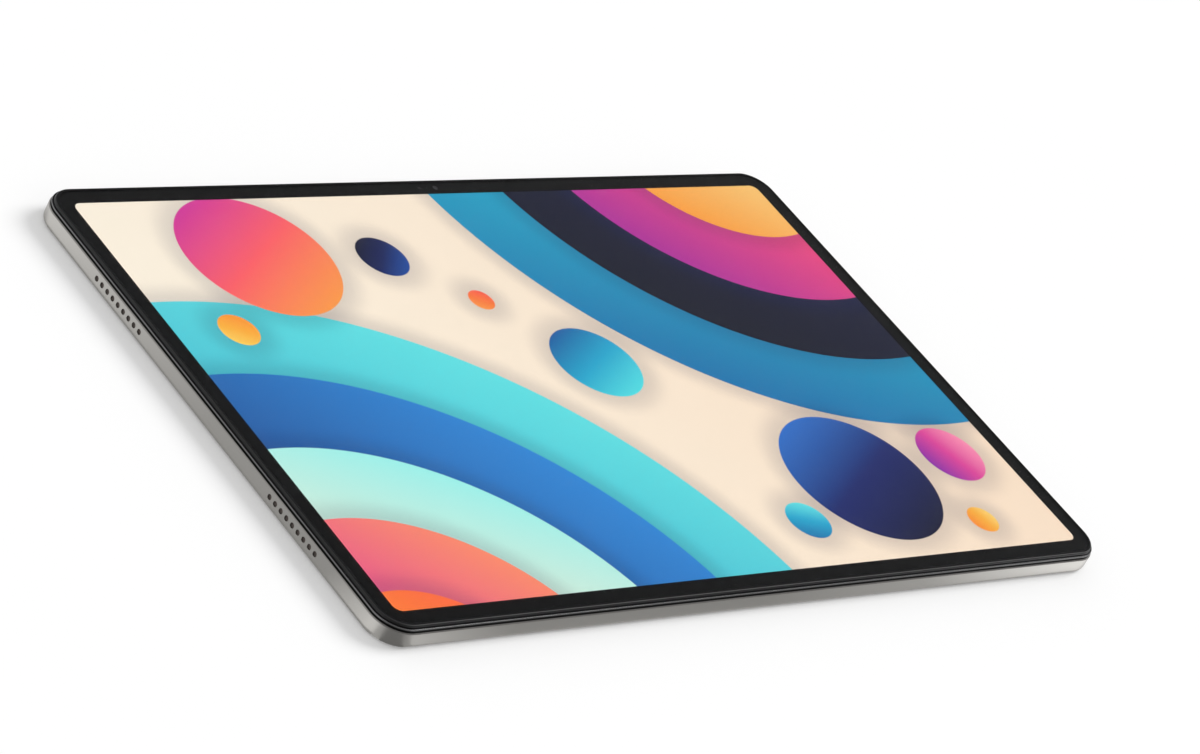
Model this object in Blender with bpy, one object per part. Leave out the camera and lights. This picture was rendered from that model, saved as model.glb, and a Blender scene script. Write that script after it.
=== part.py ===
"""Tablet computer lying on its back with the screen up.

+X runs along the long side, +Y towards the edge with the front camera and +Z out of the screen.
The origin is the middle of the back face. All sizes are in metres.
"""

import math

import bmesh
import bpy

# Body outline
BODY_LENGTH = 0.2673
BODY_WIDTH = 0.1674
CORNER_RADIUS = 0.009
BACK_EDGE_RADIUS = 0.0015
RIM_CHAMFER = 0.00025

# Layers from the back to the front, and the adhesive gap between them
BACK_THICKNESS = 0.0009
BAY_HEIGHT = 0.0033
PLATE_THICKNESS = 0.0004
TRAY_THICKNESS = 0.0002
GUIDE_THICKNESS = 0.0004
DIFFUSER_THICKNESS = 0.0002
PANEL_THICKNESS = 0.0005
GLASS_THICKNESS = 0.0007
LAYER_GAP = 0.00005

# Side wall: a thin rim above, and a ledge that carries the support plate
RIM_WALL = 0.0012
LEDGE_WIDTH = 0.001
PLATE_CLEARANCE = 0.0003

# Black plastic frame round the glass
LIP_INSET = 0.0003
LIP_HEIGHT = 0.00095
LIP_RADIUS = 0.0004
LEG_CLEARANCE = 0.0002
LEG_WIDTH = 0.0018
ADHESIVE_THICKNESS = 0.0001
ADHESIVE_SETBACK = 0.00015
ADHESIVE_WIDTH = 0.0015

# Glass edge, printed border and the panel behind it
GLASS_INSET = 0.001
GLASS_EDGE_WIDTH = 0.00045
GLASS_EDGE_DROP = 0.0005
BORDER_WIDTH = 0.0065
PANEL_MARGIN = 0.001
PANEL_CORNER_RADIUS = 0.001
GUIDE_CLEARANCE = 0.00015
LED_STRIP_WIDTH = 0.002
GRAPHITE_THICKNESS = 0.0001
GRAPHITE_LENGTH = 0.14
GRAPHITE_WIDTH = 0.1

# Speakers and their rows of holes
SPEAKER_FROM_EDGE = 0.0422
SPEAKER_LENGTH = 0.028
SPEAKER_DEPTH = 0.017
SPEAKER_HOLES = 9
HOLE_PITCH = 0.0026
HOLE_DIAMETER = 0.0015
MESH_THICKNESS = 0.0002
MESH_HEIGHT = 0.0026
MESH_MARGIN = 0.001

# Main board along the top edge, behind a strip kept free for the edge parts
TOP_STRIP = 0.0065
BOARD_LENGTH = 0.116
BOARD_WIDTH = 0.033
BOARD_THICKNESS = 0.0008
BOARD_CORNER_RADIUS = 0.0015
BOSS_HEIGHT = 0.0006
BOSS_DIAMETER = 0.0032
SCREW_EDGE = 0.0035
UPPER_SCREW_DROP = 0.011
SCREW_HEAD_DIAMETER = 0.0024
SCREW_HEAD_HEIGHT = 0.00045
SCREW_DIAMETER = 0.0012
SCREW_CLEARANCE = 0.00015
SCREW_TIP_GAP = 0.0002
BORE_FLOOR = 0.0005
SHIELD_WALL = 0.0002
SHIELD_HEIGHT = 0.00135
PROCESSOR_SIZE = 0.014
PROCESSOR_HEIGHT = 0.0009
PROCESSOR_SHIELD_LENGTH = 0.034
PROCESSOR_SHIELD_WIDTH = 0.024
PROCESSOR_X = -0.019
RADIO_SHIELD_LENGTH = 0.026
RADIO_SHIELD_WIDTH = 0.02
RADIO_X = 0.024
SHIELD_EDGE = 0.004

# Battery
CELL_SPACING = 0.006
CELL_EDGE = 0.0015
CELL_TAPE = 0.0001
CELL_SWELLING_GAP = 0.00015
CELL_CORNER_RADIUS = 0.003
BATTERY_BOARD_LENGTH = 0.06
BATTERY_BOARD_WIDTH = 0.0045
BATTERY_BOARD_GAP = 0.0008
BATTERY_LEAD_WIDTH = 0.012
BATTERY_LEAD_X = -0.02
BATTERY_LEAD_OVERLAP = 0.0035

# Flexible ribbons
FLEX_THICKNESS = 0.00012
FLEX_LANE = 0.012
MAIN_FLEX_WIDTH = 0.007
MAIN_FLEX_RISE = 0.007
MAIN_FLEX_OVERLAP = 0.01
DISPLAY_FLEX_X = 0.027
DISPLAY_FLEX_WIDTH = 0.026
DISPLAY_FLEX_REACH = 0.0013
DISPLAY_FLEX_BEND = 0.0006
DISPLAY_FLEX_OVERLAP = 0.004
FLEX_SLOT_CLEARANCE = 0.0003

# Charging port
USB_OPENING_WIDTH = 0.00834
USB_OPENING_HEIGHT = 0.00256
USB_SHELL_WALL = 0.0002
USB_DEPTH = 0.0072
USB_RECESS = 0.0001
USB_CLEARANCE = 0.0001
USB_TONGUE_WIDTH = 0.0067
USB_TONGUE_HEIGHT = 0.0007
USB_TONGUE_SETBACK = 0.0009
USB_BASE_DEPTH = 0.0016
USB_BOARD_LENGTH = 0.0185
USB_BOARD_WIDTH = 0.03
USB_BOARD_GAP = 0.0006
USB_NOTCH_CLEARANCE = 0.0003

# Side keys on the top edge
POWER_FROM_LEFT = 0.03
POWER_LENGTH = 0.011
VOLUME_FROM_LEFT = 0.058
VOLUME_LENGTH = 0.02
KEY_HEIGHT = 0.0018
KEY_PROUD = 0.00035
KEY_CLEARANCE = 0.0001
FLANGE_MARGIN = 0.0004
FLANGE_THICKNESS = 0.0004
FLANGE_GAP = 0.0003
SWITCH_GAP = 0.00035
SWITCH_LENGTH = 0.003
SWITCH_HEIGHT = 0.0016
SWITCH_DEPTH = 0.001
VOLUME_SWITCH_SPACING = 0.013
BRACKET_THICKNESS = 0.0003
BRACKET_MARGIN = 0.003
KEY_FLEX_WIDTH = 0.003
KEY_FLEX_DROP = 0.006

# Memory card tray on the top edge
TRAY_FROM_RIGHT = 0.048
TRAY_FACE_LENGTH = 0.0175
TRAY_FACE_HEIGHT = 0.0024
TRAY_FACE_DEPTH = 0.0018
TRAY_FACE_RECESS = 0.00005
TRAY_CLEARANCE = 0.0001
TRAY_BLADE_WIDTH = 0.013
TRAY_BLADE_THICKNESS = 0.001
TRAY_BLADE_LENGTH = 0.0165
BLADE_CORNER_RADIUS = 0.00025
CARD_WIDTH = 0.0112
CARD_LENGTH = 0.0152
CARD_POCKET_DEPTH = 0.0007
PINHOLE_DIAMETER = 0.0009
PINHOLE_EDGE = 0.0012
READER_WALL = 0.0003
READER_LENGTH = 0.0145

# Microphones on the top edge
MICROPHONE_LEFT_X = -0.045
MICROPHONE_RIGHT_X = 0.058
MICROPHONE_LENGTH = 0.0034
MICROPHONE_DEPTH = 0.0022
MICROPHONE_HEIGHT = 0.0011
MICROPHONE_HOLE_DIAMETER = 0.001

# Cameras and light sensor
FRONT_CAMERA_X = 0.0018
FRONT_CAMERA_INSET = 0.0039
FRONT_CAMERA_LENGTH = 0.005
FRONT_CAMERA_WIDTH = 0.003
FRONT_CAMERA_HEIGHT = 0.0016
FRONT_BARREL_DIAMETER = 0.0018
BARREL_CLEARANCE = 0.00025
LIGHT_SENSOR_SPACING = 0.006
LIGHT_SENSOR_LENGTH = 0.0016
LIGHT_SENSOR_WIDTH = 0.001
REAR_CAMERA_FROM_LEFT = 0.017
REAR_CAMERA_FROM_TOP = 0.0175
REAR_RING_DIAMETER = 0.0104
REAR_RING_WIDTH = 0.0016
REAR_RING_CLEARANCE = 0.0001
REAR_LENS_RECESS = 0.00015
REAR_BARREL_DIAMETER = 0.0064
REAR_BARREL_HEIGHT = 0.0006
REAR_CAMERA_SIZE = 0.009
REAR_CAMERA_HEIGHT = 0.0028
FLASH_SPACING = 0.0115
FLASH_DIAMETER = 0.0042
FLASH_LED_SIZE = 0.003
FLASH_LED_HEIGHT = 0.0007

# Round corners of the small moulded cases
CASE_CORNER_RADIUS = 0.0004
SMALL_CORNER_RADIUS = 0.0001

# Antenna window in the back plate and the antennas over it
WINDOW_LENGTH = 0.15
WINDOW_WIDTH = 0.007
WINDOW_FROM_TOP = 0.012
WINDOW_CLEARANCE = 0.0001
ANTENNA_MIDDLE_GAP = 0.014
ANTENNA_READER_GAP = 0.01175
ANTENNA_OVERLAP = 0.0005
ANTENNA_THICKNESS = 0.00015

# How finely curves are divided
CORNER_STEPS = 8
EDGE_STEPS = 4
HOLE_SIDES = 12
SHARP_ANGLE = math.radians(35)
CUT_MARGIN = 0.001
ROUND_SHARE = 0.499

# Levels worked out from the layers
PLATE_BOTTOM = BACK_THICKNESS + BAY_HEIGHT + LAYER_GAP
PLATE_TOP = PLATE_BOTTOM + PLATE_THICKNESS
TRAY_BOTTOM = PLATE_TOP + LAYER_GAP
GUIDE_BOTTOM = TRAY_BOTTOM + TRAY_THICKNESS + LAYER_GAP
GUIDE_TOP = GUIDE_BOTTOM + GUIDE_THICKNESS
DIFFUSER_BOTTOM = GUIDE_TOP + LAYER_GAP
DIFFUSER_TOP = DIFFUSER_BOTTOM + DIFFUSER_THICKNESS
PANEL_BOTTOM = DIFFUSER_TOP + LAYER_GAP
PANEL_TOP = PANEL_BOTTOM + PANEL_THICKNESS
GLASS_BOTTOM = PANEL_TOP + LAYER_GAP
BODY_THICKNESS = GLASS_BOTTOM + GLASS_THICKNESS
FRAME_TOP = GLASS_BOTTOM - ADHESIVE_THICKNESS - 2 * LAYER_GAP
WALL_HEIGHT = FRAME_TOP - LIP_HEIGHT - LAYER_GAP
LEDGE_HEIGHT = PLATE_BOTTOM - LAYER_GAP
BAY_FLOOR = BACK_THICKNESS + LAYER_GAP
BAY_TOP = PLATE_BOTTOM - LAYER_GAP
GRAPHITE_BOTTOM = BAY_TOP - GRAPHITE_THICKNESS
BOARD_BOTTOM = BACK_THICKNESS + BOSS_HEIGHT + LAYER_GAP
BOARD_TOP = BOARD_BOTTOM + BOARD_THICKNESS
PARTS_BOTTOM = BOARD_TOP + LAYER_GAP
PORT_HEIGHT = (BACK_THICKNESS + WALL_HEIGHT) / 2

# Places worked out from the outline
HALF_LENGTH = BODY_LENGTH / 2
HALF_WIDTH = BODY_WIDTH / 2
WALL = RIM_WALL + LEDGE_WIDTH
BAY_X = HALF_LENGTH - WALL
BAY_Y = HALF_WIDTH - WALL
LEG_OUTER = RIM_WALL + LEG_CLEARANCE
LEG_INNER = LEG_OUTER + LEG_WIDTH
PANEL_INSET = BORDER_WIDTH - PANEL_MARGIN
TRAY_INNER = PANEL_INSET + TRAY_THICKNESS
GUIDE_INSET = TRAY_INNER + GUIDE_CLEARANCE
SPEAKER_OFFSET = HALF_WIDTH - SPEAKER_FROM_EDGE
SPEAKER_FRONT = BAY_X - MESH_THICKNESS - 2 * LAYER_GAP
SPEAKER_BACK = SPEAKER_FRONT - SPEAKER_DEPTH
BOARD_Y1 = BAY_Y - TOP_STRIP
BOARD_Y0 = BOARD_Y1 - BOARD_WIDTH
BATTERY_BOARD_Y1 = BOARD_Y0 - BATTERY_BOARD_GAP
BATTERY_BOARD_Y0 = BATTERY_BOARD_Y1 - BATTERY_BOARD_WIDTH
CELL_Y1 = BATTERY_BOARD_Y0 - BATTERY_BOARD_GAP
CELL_Y0 = CELL_EDGE - BAY_Y
CELL_X0 = CELL_SPACING / 2
CELL_X1 = SPEAKER_BACK - FLEX_LANE
USB_SHELL_WIDTH = USB_OPENING_WIDTH + 2 * USB_SHELL_WALL
USB_SHELL_HEIGHT = USB_OPENING_HEIGHT + 2 * USB_SHELL_WALL
USB_FRONT = HALF_LENGTH - USB_RECESS
USB_BACK = USB_FRONT - USB_DEPTH
USB_BOARD_X1 = BAY_X - USB_BOARD_GAP
USB_BOARD_X0 = USB_BOARD_X1 - USB_BOARD_LENGTH
POWER_X = POWER_FROM_LEFT - HALF_LENGTH
VOLUME_X = VOLUME_FROM_LEFT - HALF_LENGTH
FLANGE_Y1 = BAY_Y - FLANGE_GAP
FLANGE_Y0 = FLANGE_Y1 - FLANGE_THICKNESS
SWITCH_Y1 = FLANGE_Y0 - SWITCH_GAP
SWITCH_Y0 = SWITCH_Y1 - SWITCH_DEPTH
BRACKET_Y1 = SWITCH_Y0 - LAYER_GAP
BRACKET_Y0 = BRACKET_Y1 - BRACKET_THICKNESS
TRAY_X = HALF_LENGTH - TRAY_FROM_RIGHT
READER_WIDTH = TRAY_BLADE_WIDTH + 2 * TRAY_CLEARANCE + 2 * READER_WALL
ANTENNA_START = ANTENNA_MIDDLE_GAP / 2
ANTENNA_END = TRAY_X - READER_WIDTH / 2 - ANTENNA_READER_GAP
FRONT_CAMERA_Y = HALF_WIDTH - FRONT_CAMERA_INSET
REAR_CAMERA_X = REAR_CAMERA_FROM_LEFT - HALF_LENGTH
REAR_CAMERA_Y = HALF_WIDTH - REAR_CAMERA_FROM_TOP
WINDOW_Y = HALF_WIDTH - WINDOW_FROM_TOP
DISPLAY_FLEX_Y = HALF_WIDTH - PANEL_INSET + DISPLAY_FLEX_REACH

SCREW_PLACES = {
    "screw_board_left_lower": (SCREW_EDGE - BOARD_LENGTH / 2, BOARD_Y0 + SCREW_EDGE),
    "screw_board_right_lower": (BOARD_LENGTH / 2 - SCREW_EDGE, BOARD_Y0 + SCREW_EDGE),
    "screw_board_left_upper": (SCREW_EDGE - BOARD_LENGTH / 2, BOARD_Y1 - UPPER_SCREW_DROP),
    "screw_board_right_upper": (BOARD_LENGTH / 2 - SCREW_EDGE, BOARD_Y1 - UPPER_SCREW_DROP),
    "screw_usb_lower": (USB_BOARD_X0 + SCREW_EDGE, SCREW_EDGE - USB_BOARD_WIDTH / 2),
    "screw_usb_upper": (USB_BOARD_X0 + SCREW_EDGE, USB_BOARD_WIDTH / 2 - SCREW_EDGE),
}


def clear_scene():
    for item in list(bpy.data.objects):
        bpy.data.objects.remove(item, do_unlink=True)


def finish(name, colour, roughness, metallic=0.0):
    """A Principled material of one colour."""
    made = bpy.data.materials.new(name)
    made.use_nodes = True
    shader = made.node_tree.nodes["Principled BSDF"]
    shader.inputs["Base Color"].default_value = (*colour, 1)
    shader.inputs["Roughness"].default_value = roughness
    shader.inputs["Metallic"].default_value = metallic
    return made


def rounded_rectangle(length, width, radius, centre=(0.0, 0.0), steps=CORNER_STEPS):
    """Points of a rectangle with round corners, counterclockwise from the right side's lower end."""
    radius = min(radius, length / 2, width / 2)
    across, along = length / 2 - radius, width / 2 - radius
    points = []
    for quarter, (sx, sy) in enumerate(((1, 1), (-1, 1), (-1, -1), (1, -1))):
        for step in range(steps + 1):
            angle = math.pi / 2 * (quarter + step / steps)
            x = centre[0] + sx * across + radius * math.cos(angle)
            y = centre[1] + sy * along + radius * math.sin(angle)
            points.append((x, y))
    return points


def stadium(length, width, centre=(0.0, 0.0), steps=CORNER_STEPS // 2):
    """A slot with ends a little short of half round, so that no two points meet."""
    return rounded_rectangle(length, width, ROUND_SHARE * min(length, width), centre, steps)


def circle(diameter, centre=(0.0, 0.0), sides=HOLE_SIDES):
    angles = [2 * math.pi * (side + 0.5) / sides for side in range(sides)]
    return [(centre[0] + diameter / 2 * math.cos(a), centre[1] + diameter / 2 * math.sin(a)) for a in angles]


def disc(diameter, centre, steps):
    """A circle with the same number of points as a rounded rectangle, so that the two can be joined."""
    return rounded_rectangle(diameter, diameter, ROUND_SHARE * diameter, centre, steps)


def body_outline(inset):
    """The body's outline, drawn in by inset."""
    radius = max(CORNER_RADIUS - inset, PANEL_CORNER_RADIUS)
    return rounded_rectangle(BODY_LENGTH - 2 * inset, BODY_WIDTH - 2 * inset, radius)


def place(points, axis, level):
    """Flat points set in space at a level along an axis."""
    if axis == "X":
        return [(level, u, v) for u, v in points]
    if axis == "Y":
        return [(u, level, v) for u, v in points]
    return [(u, v, level) for u, v in points]


def loft(mesh, sections, axis="Z", ring=False):
    """Adds a closed body through sections of (points, level), capped at both ends or joined into a ring."""
    loops = [[mesh.verts.new(p) for p in place(points, axis, level)] for points, level in sections]
    pairs = list(zip(loops, loops[1:]))
    if ring:
        pairs.append((loops[-1], loops[0]))
    else:
        mesh.faces.new(loops[0])
        mesh.faces.new(loops[-1])
    for low, high in pairs:
        for i in range(len(low)):
            j = (i + 1) % len(low)
            mesh.faces.new((low[i], low[j], high[j], high[i]))


def prism(mesh, points, axis, low, high):
    loft(mesh, [(points, low), (points, high)], axis)


def new_object(name, mesh, surface=None, origin=(0.0, 0.0, 0.0)):
    """Makes an object of the mesh, with its origin at a point in space."""
    bmesh.ops.recalc_face_normals(mesh, faces=mesh.faces)
    bmesh.ops.translate(mesh, verts=mesh.verts, vec=[-c for c in origin])
    data = bpy.data.meshes.new(name)
    mesh.to_mesh(data)
    mesh.free()
    made = bpy.data.objects.new(name, data)
    made.location = origin
    bpy.context.scene.collection.objects.link(made)
    if surface:
        data.materials.append(surface)
        data.shade_smooth()
        data.set_sharp_from_angle(angle=SHARP_ANGLE)
    return made


def lofted(name, surface, sections, axis="Z", ring=False, origin=(0.0, 0.0, 0.0)):
    mesh = bmesh.new()
    loft(mesh, sections, axis, ring)
    return new_object(name, mesh, surface, origin)


def slab(name, surface, points, low, high):
    """A flat piece with an outline in plan."""
    return lofted(name, surface, [(points, low), (points, high)])


def block(name, surface, x, y, z, radius=SMALL_CORNER_RADIUS):
    """A box between pairs of limits, with round upright corners."""
    centre = ((x[0] + x[1]) / 2, (y[0] + y[1]) / 2)
    points = rounded_rectangle(x[1] - x[0], y[1] - y[0], radius, centre, steps=2)
    return slab(name, surface, points, z[0], z[1])


def around(centre, size):
    """Limits of a length about its middle."""
    return (centre - size / 2, centre + size / 2)


def combine(target, helper, operation):
    """Leaves a Boolean on the target and hides its helper."""
    helper.hide_render = True
    helper.display_type = "WIRE"
    modifier = target.modifiers.new(helper.name, "BOOLEAN")
    modifier.operation = operation
    modifier.object = helper


def cut(target, name, mesh):
    combine(target, new_object(name, mesh), "DIFFERENCE")


def housing_profile():
    """Sections of the shell: back edge, outer wall, chamfered rim, ledge and bay floor."""
    sections = []
    for step in range(EDGE_STEPS + 1):
        angle = math.pi / 2 * step / EDGE_STEPS
        inset = BACK_EDGE_RADIUS * (1 - math.sin(angle))
        sections.append((body_outline(inset), BACK_EDGE_RADIUS * (1 - math.cos(angle))))
    sections.append((body_outline(0), WALL_HEIGHT - RIM_CHAMFER))
    sections.append((body_outline(RIM_CHAMFER), WALL_HEIGHT))
    sections.append((body_outline(RIM_WALL), WALL_HEIGHT))
    sections.append((body_outline(RIM_WALL), LEDGE_HEIGHT))
    sections.append((body_outline(WALL), LEDGE_HEIGHT))
    sections.append((body_outline(WALL), BACK_THICKNESS))
    return sections


def speaker_rows():
    """Middle of each row of speaker holes, as side and offset along the short edge."""
    return [(side, end * SPEAKER_OFFSET) for side in (-1, 1) for end in (-1, 1)]


def cut_side_walls(mesh):
    """Speaker holes and the charging port's slot in the short walls."""
    inner, outer = BAY_X - CUT_MARGIN, HALF_LENGTH + CUT_MARGIN
    for side, offset in speaker_rows():
        for index in range(SPEAKER_HOLES):
            along = offset + (index - (SPEAKER_HOLES - 1) / 2) * HOLE_PITCH
            prism(mesh, circle(HOLE_DIAMETER, (along, PORT_HEIGHT)), "X", side * inner, side * outer)
    width, height = USB_SHELL_WIDTH + 2 * USB_CLEARANCE, USB_SHELL_HEIGHT + 2 * USB_CLEARANCE
    prism(mesh, stadium(width, height, (0, PORT_HEIGHT)), "X", inner, outer)


def cut_top_wall(mesh):
    """Slots of the keys and the card tray and the microphone holes, in the long wall."""
    inner, outer = BAY_Y - CUT_MARGIN, HALF_WIDTH + CUT_MARGIN
    slots = [(POWER_X, POWER_LENGTH, KEY_HEIGHT, KEY_CLEARANCE)]
    slots.append((VOLUME_X, VOLUME_LENGTH, KEY_HEIGHT, KEY_CLEARANCE))
    slots.append((TRAY_X, TRAY_FACE_LENGTH, TRAY_FACE_HEIGHT, TRAY_CLEARANCE))
    for x, length, height, clearance in slots:
        points = stadium(length + 2 * clearance, height + 2 * clearance, (x, PORT_HEIGHT))
        prism(mesh, points, "Y", inner, outer)
    for x in (MICROPHONE_LEFT_X, MICROPHONE_RIGHT_X):
        prism(mesh, circle(MICROPHONE_HOLE_DIAMETER, (x, PORT_HEIGHT)), "Y", inner, outer)


def screw_bore(centre):
    return circle(SCREW_DIAMETER + 2 * SCREW_CLEARANCE, centre)


def cut_back_plate(mesh):
    """Openings of the rear camera, the flash and the antenna window, and the blind screw bores."""
    low, high = -CUT_MARGIN, BACK_THICKNESS + CUT_MARGIN
    ring = REAR_RING_DIAMETER + 2 * REAR_RING_CLEARANCE
    prism(mesh, circle(ring, (REAR_CAMERA_X, REAR_CAMERA_Y), 2 * HOLE_SIDES), "Z", low, high)
    flash = FLASH_DIAMETER + 2 * REAR_RING_CLEARANCE
    prism(mesh, circle(flash, (REAR_CAMERA_X + FLASH_SPACING, REAR_CAMERA_Y)), "Z", low, high)
    gap = 2 * WINDOW_CLEARANCE
    window = stadium(WINDOW_LENGTH + gap, WINDOW_WIDTH + gap, (0, WINDOW_Y))
    prism(mesh, window, "Z", low, high)
    for centre in SCREW_PLACES.values():
        prism(mesh, screw_bore(centre), "Z", BORE_FLOOR, BOARD_BOTTOM + CUT_MARGIN)


def build_housing(aluminium, plastic):
    housing = lofted("rear_housing", aluminium, housing_profile())
    bosses = bmesh.new()
    for centre in SCREW_PLACES.values():
        prism(bosses, circle(BOSS_DIAMETER, centre), "Z", BACK_THICKNESS / 2, BACK_THICKNESS + BOSS_HEIGHT)
    combine(housing, new_object("boss_helper", bosses), "UNION")
    cuts = {"side_wall_cuts": cut_side_walls, "top_wall_cuts": cut_top_wall, "back_cuts": cut_back_plate}
    for name, shape in cuts.items():
        cutters = bmesh.new()
        shape(cutters)
        cut(housing, name, cutters)
    window = stadium(WINDOW_LENGTH, WINDOW_WIDTH, (0, WINDOW_Y))
    slab("antenna_window", plastic, window, 0, BACK_THICKNESS)


def build_antennas(copper):
    for name, side in (("antenna_left", -1), ("antenna_right", 1)):
        x = sorted((side * ANTENNA_START, side * ANTENNA_END))
        y = around(WINDOW_Y, WINDOW_WIDTH + 2 * WINDOW_CLEARANCE + 2 * ANTENNA_OVERLAP)
        block(name, copper, x, y, (BAY_FLOOR, BAY_FLOOR + ANTENNA_THICKNESS))


def barrel_opening():
    """Round opening for the front camera's barrel."""
    middle = (FRONT_CAMERA_X, FRONT_CAMERA_Y)
    return circle(FRONT_BARREL_DIAMETER + 2 * BARREL_CLEARANCE, middle, 2 * HOLE_SIDES)


def build_frame(plastic, adhesive):
    """The black frame: a lip with a round shoulder over the rim, and a leg inside it."""
    sections = [(body_outline(LIP_INSET), WALL_HEIGHT + LAYER_GAP)]
    for step in range(EDGE_STEPS + 1):
        angle = math.pi / 2 * step / EDGE_STEPS
        inset = LIP_INSET + LIP_RADIUS * (1 - math.cos(angle))
        sections.append((body_outline(inset), FRAME_TOP - LIP_RADIUS * (1 - math.sin(angle))))
    sections.append((body_outline(LEG_INNER), FRAME_TOP))
    sections.append((body_outline(LEG_INNER), TRAY_BOTTOM))
    sections.append((body_outline(LEG_OUTER), TRAY_BOTTOM))
    sections.append((body_outline(LEG_OUTER), WALL_HEIGHT + LAYER_GAP))
    frame = lofted("display_frame", plastic, sections, ring=True)
    notch = bmesh.new()
    prism(notch, barrel_opening(), "Z", TRAY_BOTTOM - CUT_MARGIN, FRAME_TOP + CUT_MARGIN)
    cut(frame, "camera_notch", notch)
    outer = GLASS_INSET + ADHESIVE_SETBACK
    bottom, top = FRAME_TOP + LAYER_GAP, GLASS_BOTTOM - LAYER_GAP
    ring = [(body_outline(outer), bottom), (body_outline(outer), top)]
    ring += [(body_outline(outer + ADHESIVE_WIDTH), top), (body_outline(outer + ADHESIVE_WIDTH), bottom)]
    lofted("glass_adhesive", adhesive, ring, ring=True)


def build_glass(glass):
    sections = [(body_outline(GLASS_INSET), GLASS_BOTTOM)]
    for step in range(EDGE_STEPS + 1):
        angle = math.pi / 2 * step / EDGE_STEPS
        inset = GLASS_INSET + GLASS_EDGE_WIDTH * (1 - math.cos(angle))
        drop = GLASS_EDGE_DROP * (1 - math.sin(angle))
        sections.append((body_outline(inset), BODY_THICKNESS - drop))
    lofted("cover_glass", glass, sections)


def panel_outline(inset):
    length, width = BODY_LENGTH - 2 * inset, BODY_WIDTH - 2 * inset
    return rounded_rectangle(length, width, PANEL_CORNER_RADIUS, steps=3)


def build_display(panel, film, acrylic, steel, lamp):
    """Panel, diffuser, light guide and its row of lamps, in a steel tray."""
    slab("display_panel", panel, panel_outline(PANEL_INSET), PANEL_BOTTOM, PANEL_TOP)
    slab("diffuser_sheet", film, panel_outline(GUIDE_INSET), DIFFUSER_BOTTOM, DIFFUSER_TOP)
    outer, inner = panel_outline(PANEL_INSET), panel_outline(TRAY_INNER)
    floor = TRAY_BOTTOM + TRAY_THICKNESS
    tray = [(outer, TRAY_BOTTOM), (outer, DIFFUSER_TOP), (inner, DIFFUSER_TOP), (inner, floor)]
    lofted("backlight_tray", steel, tray)
    length = BODY_LENGTH - 2 * GUIDE_INSET
    low, high = GUIDE_INSET - HALF_WIDTH, HALF_WIDTH - GUIDE_INSET
    z = (GUIDE_BOTTOM, GUIDE_TOP)
    lamps = around(0, length - 2 * PANEL_CORNER_RADIUS)
    block("led_strip", lamp, lamps, (low, low + LED_STRIP_WIDTH), z)
    guide_y = (low + LED_STRIP_WIDTH + LAYER_GAP, high)
    block("light_guide", acrylic, around(0, length), guide_y, z, PANEL_CORNER_RADIUS)


def display_flex_path():
    """Middle line of the ribbon from the panel's edge down and in over the board, as (y, z)."""
    start, bend = HALF_WIDTH - PANEL_INSET + LAYER_GAP, DISPLAY_FLEX_BEND
    top, bottom = (PANEL_BOTTOM + PANEL_TOP) / 2, PARTS_BOTTOM + FLEX_THICKNESS / 2
    path = [(start, top)]
    for step in range(EDGE_STEPS + 1):
        angle = math.pi / 2 * (1 - step / EDGE_STEPS)
        y = DISPLAY_FLEX_Y - bend * (1 - math.cos(angle))
        path.append((y, top - bend * (1 - math.sin(angle))))
    for step in range(EDGE_STEPS + 1):
        angle = math.pi / 2 * step / EDGE_STEPS
        y = DISPLAY_FLEX_Y - bend * (1 - math.cos(angle))
        path.append((y, bottom + bend * (1 - math.sin(angle))))
    path.append((BOARD_Y1 - DISPLAY_FLEX_OVERLAP, bottom))
    return path


def ribbon_outline(path, thickness):
    """A strip of even thickness along a path, as one outline."""
    sides = ([], [])
    for i, (u, v) in enumerate(path):
        before, after = path[max(i - 1, 0)], path[min(i + 1, len(path) - 1)]
        du, dv = after[0] - before[0], after[1] - before[1]
        reach = thickness / 2 / math.hypot(du, dv)
        sides[0].append((u - dv * reach, v + du * reach))
        sides[1].append((u + dv * reach, v - du * reach))
    return sides[0] + sides[1][::-1]


def port_notch():
    """Notch in the plate and the small board round the charging port's shell."""
    x0, x1 = USB_BACK - USB_NOTCH_CLEARANCE, HALF_LENGTH + CUT_MARGIN
    width = USB_SHELL_WIDTH + 2 * USB_NOTCH_CLEARANCE
    return rounded_rectangle(x1 - x0, width, USB_NOTCH_CLEARANCE, ((x0 + x1) / 2, 0), 2)


def build_plate(aluminium, graphite):
    """Support plate with its openings for the port, the front camera and the display ribbon."""
    outline = body_outline(RIM_WALL + PLATE_CLEARANCE)
    plate = slab("support_plate", aluminium, outline, PLATE_BOTTOM, PLATE_TOP)
    low, high = PLATE_BOTTOM - CUT_MARGIN, PLATE_TOP + CUT_MARGIN
    openings = bmesh.new()
    prism(openings, port_notch(), "Z", low, high)
    prism(openings, barrel_opening(), "Z", low, high)
    gap = 2 * FLEX_SLOT_CLEARANCE
    slot = stadium(DISPLAY_FLEX_WIDTH + gap, FLEX_THICKNESS + gap, (DISPLAY_FLEX_X, DISPLAY_FLEX_Y))
    prism(openings, slot, "Z", low, high)
    cut(plate, "plate_openings", openings)
    sheet_y = (BOARD_Y1 - GRAPHITE_WIDTH, BOARD_Y1)
    block("graphite_sheet", graphite, around(0, GRAPHITE_LENGTH), sheet_y, (GRAPHITE_BOTTOM, BAY_TOP))


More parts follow.
